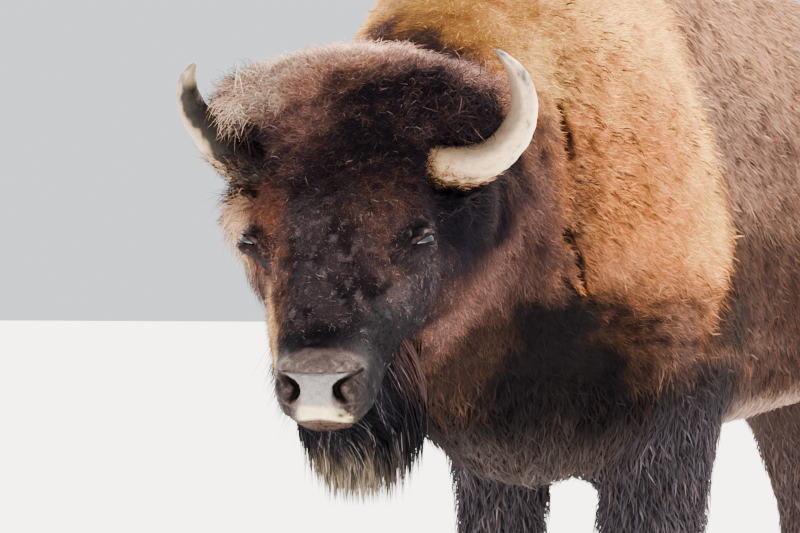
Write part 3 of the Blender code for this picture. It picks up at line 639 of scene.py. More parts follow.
def set_points(mesh, points):
    """Moves the vertices to new places."""
    mesh.vertices.foreach_set("co", points.astype(np.float32).ravel())
    mesh.update()


def relaxed(values, edges, rounds):
    """Values of the vertices, evened out along the mesh's edges."""
    count = np.bincount(edges.ravel(), minlength=len(values)).astype(float)
    count = count.reshape([-1] + [1] * (values.ndim - 1))
    for _ in range(rounds):
        total = np.zeros_like(values)
        np.add.at(total, edges[:, 0], values[edges[:, 1]])
        np.add.at(total, edges[:, 1], values[edges[:, 0]])
        values = 0.5 * values + 0.5 * total / count
    return values


skin_points = mesh_points(skin.data)
skin_edges = mesh_edges(skin.data)
even_normals = unit(relaxed(mesh_normals(skin.data), skin_edges, 6))
sunk = relaxed(coat_depth(skin_points), skin_edges, 4)
set_points(skin.data, skin_points - even_normals * sunk[:, None])


def eye_gap(points):
    """Distance from the nearer eye."""
    return np.minimum(*[np.linalg.norm(points - np.array(eye), axis=1) for eye in eyes])


def finer(wanted, rounds):
    """Splits the skin's faces where wanted, and rounds the new ones off."""
    fine = bmesh.new()
    fine.from_mesh(skin.data)
    chosen = wanted(np.array([v.co[:] for v in fine.verts]))
    fine.verts.index_update()
    split = [e for e in fine.edges if chosen[e.verts[0].index] and chosen[e.verts[1].index]]
    bmesh.ops.subdivide_edges(fine, edges=split, cuts=1, use_grid_fill=True)
    bmesh.ops.triangulate(fine, faces=[f for f in fine.faces if len(f.verts) > 4])
    fine.to_mesh(skin.data)
    fine.free()
    points = mesh_points(skin.data)
    even = relaxed(points, mesh_edges(skin.data), rounds)
    set_points(skin.data, mixed(points, even, wanted(points).astype(float)))


def whole_face(points):
    """A test for places on the head from the brow down, apart from its underside."""
    along, _, out = head_places(points)
    return (along > 0.06) & (points[:, 1] < -0.80) & (out > -0.10)


def features(eye_reach, nose_start):
    """A test for places within reach of an eye, or far enough along the face to be nose."""
    def wanted(points):
        on_end = (head_places(points)[0] > nose_start) & (points[:, 1] < -0.87)
        return (eye_gap(points) < eye_reach) | on_end
    return wanted


finer(whole_face, 2)
finer(features(0.060, 0.390), 3)
finer(features(0.036, 0.425), 2)

# The nose: nostrils like commas, a crease over the bare pad, a groove below it, and the lips.

skin_points = mesh_points(skin.data)
skin_normals = mesh_normals(skin.data)
along, left, out = head_places(skin_points)
drop = poll.z - skin_points[:, 2]
side = left - nose_middle
facing = skin_normals @ unit(face_a * 0.85 + brow_a * 0.5)
on_nose = ramp(along, 0.405, 0.425) * ramp(facing, 0.15, 0.45) * (skin_points[:, 1] < -0.85)
inward = np.zeros(len(skin_points))

# Places along each nostril: off the middle line, below the poll, and the hole's radius.
nostril = [
    (0.040, 0.345, 0.0040), (0.0335, 0.340, 0.0065), (0.0300, 0.333, 0.0075), (0.0300, 0.326, 0.0070),
    (0.0345, 0.319, 0.0055), (0.043, 0.313, 0.0038), (0.053, 0.308, 0.0028), (0.061, 0.303, 0.0022),
]
for mirror in (-1, 1):
    hole = np.zeros(len(skin_points))
    rim = np.zeros(len(skin_points))
    for (w0, d0, r0), (w1, d1, r1) in zip(nostril, nostril[1:]):
        for t in (0, 0.25, 0.5, 0.75, 1):
            w, d, r = w0 + (w1 - w0) * t, d0 + (d1 - d0) * t, r0 + (r1 - r0) * t
            gap = np.hypot(side * mirror - w, drop - d)
            reach = r * (1.18 if mirror < 0 else 1.05)
            hole = np.maximum(hole, fall(gap, reach * 0.45, reach * 1.10) * (r * 2.6 - 0.003))
            rim = np.maximum(rim, bump_at(gap, r * 1.6, r * 0.45) * 0.0018)
    inward += (hole - rim * (hole < 0.001)) * on_nose
    wing = bump_at(side * mirror, 0.050, 0.013) * bump_at(drop, 0.332, 0.014)
    inward -= wing * on_nose * 0.0048
    inward += bump_at(side * mirror, 0.045, 0.014) * bump_at(drop, 0.3515, 0.0035) * on_nose * 0.0022
crease_drop = 0.3090 - 0.0045 * (side / 0.04) ** 2 + 0.0012 * cloud(skin_points, 0.010, 34)
crease = bump_at(drop, crease_drop, 0.0012) * fall(np.abs(side), 0.036, 0.050)
inward += on_nose * crease * 0.0026
inward -= on_nose * bump_at(drop, crease_drop - 0.010, 0.008) * 0.0020 * (np.abs(side) < 0.06)
groove = bump_at(side, 0.002, 0.0030) * ramp(drop, 0.340, 0.352) * fall(drop, 0.372, 0.377)
inward += on_nose * groove * 0.0034
inward -= on_nose * bump_at(drop, 0.366, 0.006) * bump_at(np.abs(side), 0.020, 0.014) * 0.0022
lip_line = -0.020 - 0.16 * (0.478 - along)
below = lip_line - out
has_mouth = ramp(along, 0.345, 0.375) * (skin_points[:, 1] < -0.83)
inward += has_mouth * bump_at(below, 0, 0.0024) * 0.0065
inward += has_mouth * ramp(below, 0.0, 0.006) * fall(below, 0.03, 0.06) * 0.0045
pebbles = 0.0009 * cloud(skin_points, 0.0065, 31) + 0.0005 * cloud(skin_points, 0.003, 35)
inward += on_nose * pebbles

# The eyes: lids drawn over the ball, open in a narrow slit, with folds above and below.

EYE_RADIUS = 0.0175
LID_RADIUS = 0.0198
SLIT_HALF = 0.0215
lid_shift = np.zeros_like(skin_points)
eye_frames = []
# Swellings and hollows: height over the slit, bow, width, place along the slit, width, rise.
eye_forms = [
    (0.0135, -0.6, 0.0024, 0.004, 0.026, 0.0020), (0.0245, 0, 0.0085, -0.012, 0.020, -0.0070),
    (0.0180, 0, 0.0110, 0.040, 0.018, 0.0070), (-0.0200, 0.6, 0.0085, -0.010, 0.020, 0.0065),
    (-0.0345, 0.6, 0.0040, -0.010, 0.020, -0.0040), (-0.004, 0, 0.016, 0.034, 0.006, -0.0050),
]
far_bag_hollow = (-0.0250, 0, 0.0100, -0.014, 0.012, -0.0060)
# Wrinkles: height over the slit, bow, way of wavering, width, half length, depth.
eye_wrinkles = [
    (0.0105, -1, 1, 0.0012, 0.026, 0.0018), (0.0175, -1, 1, 0.0015, 0.028, 0.0014),
    (-0.0100, 1, 1, 0.0012, 0.022, 0.0016), (-0.0150, 1, -1, 0.0012, 0.022, 0.0010),
]


def lid_opening(s, v):
    """Negative inside the almond-shaped slit between the lids, growing outwards."""
    reach = np.clip(1 - (s / SLIT_HALF) ** 2, 0, None) ** 0.8
    return np.maximum(v - 0.0048 * reach, -0.0038 * reach - v)


for eye, mirror in zip(eyes, (1, -1)):
    centre = np.array(eye)
    outward = unit(face_a * 0.10 + left_a * 0.83 * mirror + brow_a * 0.55)
    centre = centre - outward * 0.0030
    back = np.array(-heading * 0.87 + UP * 0.22 + head_left * 0.44 * mirror)
    slit = unit(back - outward * (back @ outward))
    rise = np.cross(outward, slit)
    rise = rise if rise[2] > 0 else -rise
    eye_frames.append((centre, outward, slit, rise))
    place = skin_points - centre
    s, v, h = place @ slit, place @ rise, place @ outward
    wide = np.hypot(s * 0.85, v)
    dome = np.sqrt(np.maximum(LID_RADIUS**2 - (s * 0.9) ** 2 - v**2, 0.0))
    covered = fall(wide, 0.0145, 0.0290) * (h > -0.02)
    height = h + (dome - h) * covered
    opening = lid_opening(s, v)
    open_here = (np.abs(s) < SLIT_HALF) & (h > -0.02)
    height = np.where(open_here, height - fall(opening, -0.0010, 0.0006) * 0.0095, height)
    height += open_here * bump_at(opening, 0.0020, 0.0011) * 0.0010
    nearby = fall(wide, 0.034, 0.050) * (h > -0.035)
    bow = s**2 / 0.035
    wrinkle = 0.0012 * cloud(skin_points, 0.010, 36)
    for up, bowed, waver, breadth, half, depth in eye_wrinkles:
        fold = bump_at(v + waver * wrinkle, up + bowed * bow, breadth)
        height -= nearby * fold * depth * (np.abs(s) < half)
    for up, bowed, breadth, place_along, length, swell in eye_forms + [far_bag_hollow] * (mirror < 0):
        form = bump_at(v, up + bowed * bow, breadth) * bump_at(s, place_along, length)
        height += nearby * form * swell
    lid_shift += (height - h)[:, None] * outward * nearby[:, None]

fuller = ramp(-left, 0.050, 0.090) * bump_at(along, 0.285, 0.075) * (skin_points[:, 1] < -0.80)
high_crown = regions(skin_points)["crown"] * ramp(skin_points[:, 2], 1.06, 1.12)
inward = inward - 0.004 * fuller - 0.014 * high_crown
skin_points = skin_points - skin_normals * inward[:, None] + lid_shift
skin_regions = regions(skin_points)
lumps = 0.0014 + 0.0036 * skin_regions["crown"]
lumps = lumps * (1 - skin_regions["front"]) * (1 - 0.6 * skin_regions["low_leg"])
lumpy = lumps * (cloud(skin_points, 0.034, 32) + 0.7 * cloud(skin_points, 0.014, 33))

# The loose skin of neck and shoulder hangs in a cracked crease and a few uneven upright folds.
gap = crease_gap(skin_points)
z = skin_points[:, 2]
on_side = (1 - skin_regions["head"]) * ramp(np.abs(skin_points[:, 0]), 0.05, 0.12)
on_side = on_side * ramp(z, 0.82, 0.87) * fall(z, 1.12, 1.24)
lumpy -= on_side * crack_share(skin_points, gap, 0.0070) * 0.006
furrows = combed_places(skin_points, 38, 0.30)
cape_front = (1 - skin_regions["rear"]) * (1 - skin_regions["head"]) * ramp(-gap, 0.0, 0.04)
lumpy += cape_front * 0.0022 * cloud(furrows, 0.010, 39)
upright = combed_places(skin_points, 82, 0.22)
folds = (1 - skin_regions["rear"]) * (1 - skin_regions["head"]) * ramp(z, 0.80, 0.90)
folds = folds * (0.4 + 0.6 * bump_at(gap, 0.03, 0.09))
lumpy += folds * (0.0045 * cloud(upright, 0.034, 37) + 0.0020 * cloud(upright, 0.014, 38))
skin_points = skin_points + skin_normals * lumpy[:, None]
set_points(skin.data, skin_points)
skin_normals = mesh_normals(skin.data)
skin_edges = mesh_edges(skin.data)

# Painted shade inside the nostril holes.
nostril_shade = ramp(inward, 0.003, 0.007) * on_nose
skin_colour = coat_colour(skin_points)
bare = skin_regions["muzzle"]
for centre, outward, slit, rise in eye_frames:
    place = skin_points - centre
    s, v = place @ slit, place @ rise
    opening = lid_opening(s, v)
    beside_eye = np.linalg.norm(place, axis=1) < 0.05
    lid_edge = fall(opening, 0.0004, 0.0022) * (np.abs(s) < SLIT_HALF + 0.003) * beside_eye
    speckle = cloud(skin_points, 0.004, 51)
    fold = bump_at(v, 0.0120 - s**2 / 0.06, 0.0026) * bump_at(s, -0.004, 0.022) * beside_eye
    # Painted shade in the socket round the eye, and a painted highlight along the fold of the upper
    # lid.
    socket = beside_eye * fall(np.abs(v), 0.014, 0.024)
    skin_colour = mixed(skin_colour, srgb(30, 24, 28), socket * 0.8)
    skin_colour = mixed(skin_colour, srgb(150, 124, 122), fold * (0.45 + 0.5 * speckle).clip(0, 1))
    bag = bump_at(v, -0.019, 0.009) * bump_at(s, -0.012, 0.018) * beside_eye
    skin_colour = mixed(skin_colour, srgb(58, 50, 56), bag * (0.6 + 0.5 * speckle).clip(0, 1))
    lashes = bump_at(v + 0.15 * s, 0.0075, 0.0022) * beside_eye * (np.abs(s) < 0.024)
    skin_colour = mixed(skin_colour, srgb(12, 9, 12), lashes * 0.85)
    skin_colour = mixed(skin_colour, srgb(13, 10, 13), lid_edge)
# Painted shade under the coat: the hairy hide is painted darker than the bare nose, and the nostril
# holes near black.
skin_colour = mixed(skin_colour * (0.55 + 0.45 * bare)[:, None], srgb(14, 10, 11), nostril_shade)


def painted(mesh, name, colours, hairy=1.0):
    """Stores a colour for each vertex, and in its fourth value how hairy the place is."""
    attribute = mesh.color_attributes.new(name, "FLOAT_COLOR", "POINT")
    rows = np.column_stack([colours, np.ones(len(colours)) * hairy])
    attribute.data.foreach_set("color", rows.astype(np.float32).ravel())


painted(skin.data, "coat", skin_colour, 1 - bare * 0.9)
skin.data.shade_smooth()


def grained_material(name, attribute, roughness, grain, tones, bump_height):
    """Colour from an attribute of the mesh, broken up and made uneven by a fine grain."""
    made, shader = new_material(name, roughness)
    nodes, links = made.node_tree.nodes, made.node_tree.links
    tint = nodes.new("ShaderNodeAttribute")
    tint.attribute_name = attribute
    places = nodes.new("ShaderNodeTexCoord")
    noise = nodes.new("ShaderNodeTexNoise")
    for socket, value in zip(("Scale", "Detail", "Roughness"), grain):
        noise.inputs[socket].default_value = value
    links.new(places.outputs["Object"], noise.inputs["Vector"])
    lighter = nodes.new("ShaderNodeMapRange")
    for socket, value in zip(("From Min", "From Max", "To Min", "To Max"), (0.3, 0.7, *tones)):
        lighter.inputs[socket].default_value = value
    links.new(noise.outputs["Fac"], lighter.inputs["Value"])
    scaled = nodes.new("ShaderNodeVectorMath")
    scaled.operation = "SCALE"
    links.new(tint.outputs["Color"], scaled.inputs[0])
    links.new(lighter.outputs["Result"], scaled.inputs["Scale"])
    links.new(scaled.outputs["Vector"], shader.inputs["Base Color"])
    bump = nodes.new("ShaderNodeBump")
    bump.inputs["Strength"].default_value = 0.5
    bump.inputs["Distance"].default_value = bump_height
    links.new(noise.outputs["Fac"], bump.inputs["Height"])
    links.new(bump.outputs["Normal"], shader.inputs["Normal"])
    return made, shader, tint


def coat_material(name, roughness, grain_scale, contrast, bump_height):
    """Hair or hide, in which the bare nose shines more than the hair does."""
    grain, tones = (grain_scale, 3, 0.5), (1 - contrast, 1 + contrast)
    made, shader, tint = grained_material(name, "coat", roughness, grain, tones, bump_height)
    shine = made.node_tree.nodes.new("ShaderNodeMapRange")
    shine.inputs["To Min"].default_value = 0.06
    shine.inputs["To Max"].default_value = 0.02
    made.node_tree.links.new(tint.outputs["Alpha"], shine.inputs["Value"])
    made.node_tree.links.new(shine.outputs["Result"], shader.inputs["Specular IOR Level"])
    return made


skin.data.materials.clear()
skin.data.materials.append(coat_material("skin_and_short_hair", 0.60, 480, 0.26, 0.0018))
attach(skin, "root")
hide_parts(*flesh)

# ---------------------------------------------------------------- eyes
# Dark wet balls set as deep as real ones behind the lids, with a brown iris and a long
# level pupil. Little of them shows, because the lids are drawn together against the sun.

for (centre, outward, slit, rise), node in zip(eye_frames, ("left_eye", "right_eye")):
    ball_form = bmesh.new()
    bmesh.ops.create_uvsphere(ball_form, u_segments=48, v_segments=32, radius=EYE_RADIUS)
    ball_mesh = mesh_of(ball_form, node + "_ball")
    turned = mesh_points(ball_mesh) @ np.array([slit, rise, outward])
    set_points(ball_mesh, turned + centre)
    offsets = mesh_points(ball_mesh) - centre
    s, v, h = offsets @ slit, offsets @ rise, offsets @ outward
    iris = fall(np.hypot(s, v), 0.0125, 0.0138) * (h > 0)
    pupil = fall(np.hypot(s * 0.6, v), 0.0042, 0.0052) * (h > 0)
    tint = np.tile(srgb(44, 37, 40), (len(offsets), 1))
    tint = mixed(tint, srgb(34, 22, 26), iris)
    tint = mixed(tint, srgb(6, 6, 12), pupil)
    painted(ball_mesh, "iris", tint)
    ball_mesh.shade_smooth()
    eye_paint, shader = new_material(node + "_wet", 0.10)
    shader.inputs["Coat Weight"].default_value = 1.0
    shader.inputs["Coat Roughness"].default_value = 0.03
    reading = eye_paint.node_tree.nodes.new("ShaderNodeAttribute")
    reading.attribute_name = "iris"
    eye_paint.node_tree.links.new(reading.outputs["Color"], shader.inputs["Base Color"])
    ball_mesh.materials.append(eye_paint)
    ball = linked(node + "_ball", ball_mesh)
    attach(ball, "root")
    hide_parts(node)

# ---------------------------------------------------------------- horns
# Hollow keratin sheaths over bone cores, worn pale and smooth. They are ringed and dirty near
# the base and greyer to the tip, with painted shade on the inner side and a painted highlight along the
# outer side. The imported horn is rounded off.


def merged_form(node):
    """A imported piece's shape, with its loose triangles joined up."""
    form = bmesh.new()
    form.from_mesh(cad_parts[node].data)
    bmesh.ops.remove_doubles(form, verts=form.verts, dist=0.0002)
    return form


def rounded_copy(node, name, levels):
    """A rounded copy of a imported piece."""
    form = merged_form(node)
    bmesh.ops.recalc_face_normals(form, faces=form.faces)
    mesh = mesh_of(form, name)
    mesh.materials.clear()
    made = linked(name, mesh)
    rounding = made.modifiers.new("round", "SUBSURF")
    rounding.levels = levels
    rounding.render_levels = levels
    bpy.context.view_layer.update()
    graph = bpy.context.evaluated_depsgraph_get()
    made.data = bpy.data.meshes.new_from_object(made.evaluated_get(graph))
    made.modifiers.clear()
    made.data.shade_smooth()
    return made


def keratin_material(name, roughness):
    """Horn, finely streaked and with little shine."""
    grain, tones = (260, 5, 0.65), (0.78, 1.16)
    made, shader, _ = grained_material(name, "keratin", roughness, grain, tones, 0.0015)
    shader.inputs["Specular IOR Level"].default_value = 0.2
    return made


horn_finish = keratin_material("worn_horn", 0.50)
horn_bases = []
for node, mirror in (("left_horn", 1), ("right_horn", -1)):
    sheath = rounded_copy(node, node + "_sheath", 2)
    points = mesh_points(sheath.data)
    tip = points[np.argmax(points[:, 2])]
    away = np.linalg.norm(points - tip, axis=1)
    length = away / away.max()
    root = points[length > 0.93].mean(0)
    chord = (tip + root) / 2
    rings = np.sin(length * 70 + 2.0 * cloud(points, 0.03, 41)) * ramp(length, 0.35, 0.9)
    dents = cloud(points, 0.012, 42) + 0.6 * cloud(points, 0.005, 43)
    normals = mesh_normals(sheath.data)
    rough = 1 + 1.5 * ramp(length, 0.6, 0.9)
    set_points(sheath.data, points + normals * (0.0007 * rings + 0.0008 * dents * rough)[:, None])
    outer = np.sum(normals * unit(points - chord), 1)
    patches = cloud(points, 0.016, 44) + 0.7 * cloud(points, 0.007, 45)
    specks = cloud(points, 0.0045, 48) + 0.5 * cloud(points, 0.0022, 49)
    along_horn = (points - chord) @ unit(tip - root)
    turn = (points - chord) @ unit(np.cross(tip - root, brow_a))
    streaks = cloud(np.stack([along_horn * 0.3, turn, points @ brow_a], 1), 0.0035, 50)
    tint = np.tile(srgb(248, 206, 158), (len(points), 1))
    tint = mixed(tint, srgb(170, 150, 128), ramp(-patches + 0.5 * streaks, 0.1, 1.1) * 0.7)
    # Painted shade on the horn's inner side, and a painted highlight along its outer side.
    in_shade = ramp(-outer + 0.15 * patches, -0.25, 0.40) * (1 - 0.6 * ramp(length, 0.60, 0.85))
    tint = mixed(tint, srgb(92, 76, 66), in_shade * 0.85)
    tint = mixed(tint, srgb(255, 226, 186), ramp(outer, 0.35, 0.85) * (0.8 + 0.3 * specks).clip(0, 1))
    stripe = ramp(outer + 0.2 * patches, -0.1, 0.45) * fall(length, 0.26, 0.52)
    tint = mixed(tint, srgb(52, 50, 58), stripe * (0.60 + 0.5 * patches + 0.4 * specks).clip(0, 0.95))
    tint = mixed(tint, srgb(70, 66, 70), fall(length, 0.02, 0.12) * 0.8)
    tint = mixed(tint, srgb(64, 62, 72), ramp(patches + specks, 1.0, 1.5) * ramp(outer, 0.0, 0.5) * 0.8)
    based = ramp(length, 0.66, 0.86)
    tint = mixed(tint, srgb(190, 142, 92), based * 0.8)
    tint = mixed(tint, srgb(96, 64, 44), based * ramp(streaks + 0.4 * specks, -0.1, 0.7) * 0.85)
    if mirror < 0:
        tint = tint + (srgb(150, 132, 100) - tint) * 0.55
        # Painted shade: the far horn's inner side is near black.
        inner = ramp(normals @ left_a + 0.12 * patches, -0.62, -0.30) * ramp(length, 0.10, 0.22)
        tint = mixed(tint, srgb(13, 9, 9), inner * 0.97)
    painted(sheath.data, "keratin", tint)
    sheath.data.materials.append(horn_finish)
    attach(sheath, "root")
    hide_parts(node)
    middle = points[(length > 0.55) & (length < 0.70)].mean(0)
    horn_bases.append((points, normals, length, unit(middle - root)))

# ---------------------------------------------------------------- hooves
# Cloven hooves of dark horn with faint growth bands, two claws to a foot, and two small
# dewclaws above each heel, which grow out of the skin and are stretched back into it.

hoof_finish = keratin_material("hoof_horn", 0.55)
legs = ("left_fore", "right_fore", "left_hind", "right_hind")
thicker, buried = 1.18, 0.007
for leg, place, kind in itertools.product(legs, ("left", "right"), ("claw", "dewclaw")):
    node = f"{leg}_{place}_{kind}"
    form = merged_form(node)
    bmesh.ops.subdivide_edges(form, edges=form.edges, cuts=3, use_grid_fill=True)
    bmesh.ops.triangulate(form, faces=[f for f in form.faces if len(f.verts) > 4])
    mesh = mesh_of(form, node + "_horn")
    mesh.materials.clear()
    points = mesh_points(mesh)
    even = relaxed(points, mesh_edges(mesh), 3)
    if kind == "dewclaw":
        middle = even.mean(0)
        nearest = skin_points[np.argmin(np.linalg.norm(skin_points - middle, axis=1))]
        to_skin = unit(nearest - middle)
        reach = (even - middle) @ to_skin
        gap = np.linalg.norm(nearest - middle) - reach.max()
        even = middle + (even - middle) * thicker
        stretch = (gap + buried) * ramp(reach, reach.min(), reach.max())
        even = even + to_skin * stretch[:, None]
    even[:, 2] = np.where(points[:, 2] < 0.002, points[:, 2], even[:, 2])
    bands = np.sin(even[:, 2] * 520 + 2 * cloud(even, 0.03, 46))
    above = ramp(even[:, 2], 0.006, 0.015)
    set_points(mesh, even + mesh_normals(mesh) * (0.0004 * bands * above)[:, None])
    tint = np.tile(srgb(52, 45, 43), (len(points), 1))
    tint = mixed(tint, srgb(96, 84, 74), ramp(bands + cloud(even, 0.01, 47), 0.2, 1.4) * 0.6)
    painted(mesh, "keratin", tint)
    mesh.shade_smooth()
    mesh.materials.append(hoof_finish)
    hoof = linked(node + "_horn", mesh)
    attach(hoof, "root")
    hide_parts(node)

# ---------------------------------------------------------------- coat
# Tufts of hair, each a thin tapered lock that lifts at its tip. They are rooted on the skin
# and take its colours. The hair lies back and down on the body, straight down on the legs,
# and spreads from the middle of the bonnet over the head.

bpy.context.view_layer.objects.active = skin
skin.select_set(True)
skin.data.uv_layers.new(name="OFBake")
bpy.ops.object.mode_set(mode="EDIT")
bpy.ops.mesh.select_all(action="SELECT")
bpy.ops.uv.smart_project(angle_limit=1.15, island_margin=0.004)
bpy.ops.object.mode_set(mode="OBJECT")
skin.select_set(False)
skin.data.calc_loop_triangles()
triangle_count = len(skin.data.loop_triangles)
corner_verts = rows_of(skin.data.loop_triangles, "vertices", 3, np.int32)
corner_loops = rows_of(skin.data.loop_triangles, "loops", 3, np.int32)
skin_uv = rows_of(skin.data.uv_layers["OFBake"].uv, "vector", 2)
root_normals = relaxed(skin_normals, skin_edges, 3)
corner_points = skin_points[corner_verts]
triangle_area = 0.5 * np.linalg.norm(
    np.cross(corner_points[:, 1] - corner_points[:, 0], corner_points[:, 2] - corner_points[:, 0]),
    axis=1,
)
triangle_middle = corner_points.mean(1)


def rooted(density, rng):
    """Roots on the skin, so many to the square metre of each triangle: place, normal, map place."""
    chances = triangle_area * density
    counts = np.floor(chances + rng.random(len(chances))).astype(int)
    chosen = np.repeat(np.arange(len(chances)), counts)
    a, b = rng.random(len(chosen)), rng.random(len(chosen))
    folded = a + b > 1
    a[folded], b[folded] = 1 - a[folded], 1 - b[folded]
    shares = np.stack([1 - a - b, a, b], 1)[:, :, None]
    places = (corner_points[chosen] * shares).sum(1)
    normals = unit((root_normals[corner_verts[chosen]] * shares).sum(1))
    maps = (skin_uv[corner_loops[chosen]] * shares).sum(1)
    return places, normals, maps


PIECE_LIMIT = 199000
coat_finish = coat_material("winter_coat", 0.75, 900, 0.18, 0.001)


def tuft_piece(name, slot, paths, sides, widths, normals, tints, maps):
    """One mesh of three-sided tufts, from their knots' places (tufts x knots x 3) to their tips."""
    count, knots = paths.shape[:2]
    along = unit(np.gradient(paths, axis=1))
    across = unit(sides[:, None, :] - along * np.sum(along * sides[:, None, :], 2)[:, :, None])
    outward = np.cross(along, across)
    outward *= np.sign(np.sum(outward * normals[:, None, :], 2) + 1e-9)[:, :, None]
    half = widths[:, :, None] / 2
    low = paths[:, :-1] - outward[:, :-1] * half[:, :-1] * 0.25
    rings = np.stack([
        low + across[:, :-1] * half[:, :-1],
        low - across[:, :-1] * half[:, :-1],
        paths[:, :-1] + outward[:, :-1] * half[:, :-1] * 0.55,
    ], 2)
    points = np.concatenate([rings.reshape(count, -1, 3), paths[:, -1:]], 1)
    lean = normals[:, None, :] * 0.50
    ring_normals = np.stack([
        unit(lean + across[:, :-1] * 0.6), unit(lean - across[:, :-1] * 0.6),
        unit(lean + outward[:, :-1] * 0.5),
    ], 2)
    tip_normals = unit(lean + 0.4 * along[:, -1:])
    point_normals = np.concatenate([ring_normals.reshape(count, -1, 3), tip_normals], 1)
    per = points.shape[1]
    flips = np.sum(np.cross(across[:, 0], outward[:, 0]) * along[:, 0], 1) < 0
    faces = []
    for ring in range(knots - 2):
        for k in range(3):
            j = (k + 1) % 3
            base, top = ring * 3, ring * 3 + 3
            faces.append([base + j, base + k, top + j])
            faces.append([top + j, base + k, top + k])
    last = (knots - 2) * 3
    for k in range(3):
        faces.append([last + (k + 1) % 3, last + k, per - 1])
    faces = np.array(faces)
    each = np.where(flips[:, None, None], faces[None, :, ::-1], faces[None])
    every = (each + np.arange(count)[:, None, None] * per).reshape(-1, 3)
    mesh = bpy.data.meshes.new(name)
    mesh.vertices.add(count * per)
    mesh.vertices.foreach_set("co", points.astype(np.float32).ravel())
    mesh.loops.add(len(every) * 3)
    mesh.loops.foreach_set("vertex_index", every.astype(np.int32).ravel())
    mesh.polygons.add(len(every))
    mesh.polygons.foreach_set("loop_start", np.arange(0, len(every) * 3, 3, dtype=np.int32))
    mesh.update(calc_edges=True)
    mesh.shade_smooth()
    level = np.concatenate([np.repeat(np.linspace(0, 1, knots)[:-1], 3), [1.0]])
    spread = np.concatenate([np.tile([1.0, -1.0, 0.0], knots - 1), [0.0]])
    patch = np.stack([spread * 0.0015, (level - 0.5) * 0.003], 1)
    layer = mesh.uv_layers.new(name="OFBake")
    layer.uv.foreach_set("vector", (maps[:, None, None, :] + patch[each]).astype(np.float32).ravel())
    knot_tints = np.concatenate([np.repeat(tints[:, :-1], 3, axis=1), tints[:, -1:]], 1)
    painted(mesh, "coat", np.clip(knot_tints.reshape(-1, 3), 0.002, 1))
    mesh.normals_split_custom_set_from_vertices(point_normals.reshape(-1, 3).tolist())
    mesh.materials.append(coat_finish)
    piece = linked(name, mesh)
    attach(piece, "root")
    return piece


def each_way(directions, amounts):
    """Moves of the given amounts, knot by knot, in each tuft's own direction."""
    return directions[:, None, :] * amounts[:, :, None]


def tapered(widths, steps, shape, belly=0.5):
    """Widths at each tuft's knots, with the shares that it has at root, belly and tip."""
    return widths[:, None] * np.interp(steps, [0, belly, 1], shape)[None]


def coat_flow(points, normals):
    """Unit directions in which the hair lies along the body."""
    r = regions(points)
    x, y, z = points.T
    n = len(points)
    level = bump_at(z, 0.83, 0.045) * bump_at(y, -0.41, 0.10)
    slope = np.radians(50 - 12 * bump_at(y, -0.46, 0.10) - 24 * level + 30 * ramp(-y, 0.54, 0.62))
    flow = np.stack([0.08 * np.sign(x), np.cos(slope), -np.sin(slope)], 1)
    down = np.tile([0.0, 0.10, -1.0], (n, 1))
    flow = mixed(flow, down, np.maximum(r["leg"], r["fore"] * fall(z, 0.66, 0.78)))
    face_flow = np.outer(0.45 + 0.55 * r["front"], face_a) + np.outer(r["left"] * 4.5, left_a)
    middle = np.array(poll - face * 0.05 + brow * 0.12)
    spread = points - middle
    spread[:, 2] = -0.04
    spread = unit(spread) + 0.25 * face_a
    head_flow = mixed(face_flow, spread, r["crown"])
    jowl = fall(r["along"], 0.12, 0.26) * (1 - r["crown"])
    jowl = np.maximum(jowl, ramp(-r["out"], 0.04, 0.10) * 0.9)
    back_down = np.array(-heading * 0.30 - UP * 0.95)
    head_flow = mixed(head_flow, back_down, jowl * 0.9)
    for side in (1, -1):
        to_tip = np.array(head_left * side * 0.8 - heading * 0.35 - UP * 0.25)
        head_flow = mixed(head_flow, to_tip, r["ear"] * (np.sign(r["left"]) == side))
    for eye in eyes:
        from_eye = points - np.array(eye)
        ring = fall(np.linalg.norm(from_eye, axis=1), 0.034, 0.050)
        head_flow = mixed(head_flow, unit(from_eye) * 1.5 - np.array([0, 0, 0.5]), ring * 0.9)
    flow = flow * (1 - r["head"])[:, None] + head_flow * r["head"][:, None]
    flow = unit(flow - normals * np.sum(flow * normals, 1)[:, None])
    swirl = 0.34 - 0.16 * r["rear"] - 0.15 * r["leg"]
    swirl = swirl + (0.60 - swirl) * r["head"] * (1 - r["crown"]) + 0.65 * r["crown"]
    angle = swirl * (1.2 * cloud(points, 0.045, 21) + 0.9 * cloud(points, 0.014, 22))
    side = np.cross(normals, flow)
    return flow * np.cos(angle)[:, None] + side * np.sin(angle)[:, None]


def combed(places, normals, lengths, rises, widths, knots, rng, curls, stray):
    """Paths, sides and widths of tufts that leave the skin and bend over along its lie."""
    count = len(places)
    flow = coat_flow(places, normals)
    turn = rng.normal(0, stray, count)
    side = np.cross(normals, flow)
    flow = flow * np.cos(turn)[:, None] + side * np.sin(turn)[:, None]
    side = np.cross(normals, flow)
    steps = np.linspace(0, 1, knots)
    lift = rises[:, None] * np.sin(steps * math.pi / 2)[None] ** 0.9
    reach = lengths[:, None] * (steps - 0.12 * np.sin(steps * math.pi))[None]
    bends = rng.uniform(2.0, 5.0, count)[:, None]
    wave = curls[:, None] * np.sin(steps * bends) * rng.choice([-1, 1], count)[:, None]
    paths = places[:, None, :] - normals[:, None, :] * 0.002
    paths = paths + each_way(flow, reach) + each_way(normals, lift) + each_way(side, wave)
    return paths, side, tapered(widths, steps, [0.9, 1.0, 0.25], 0.45)


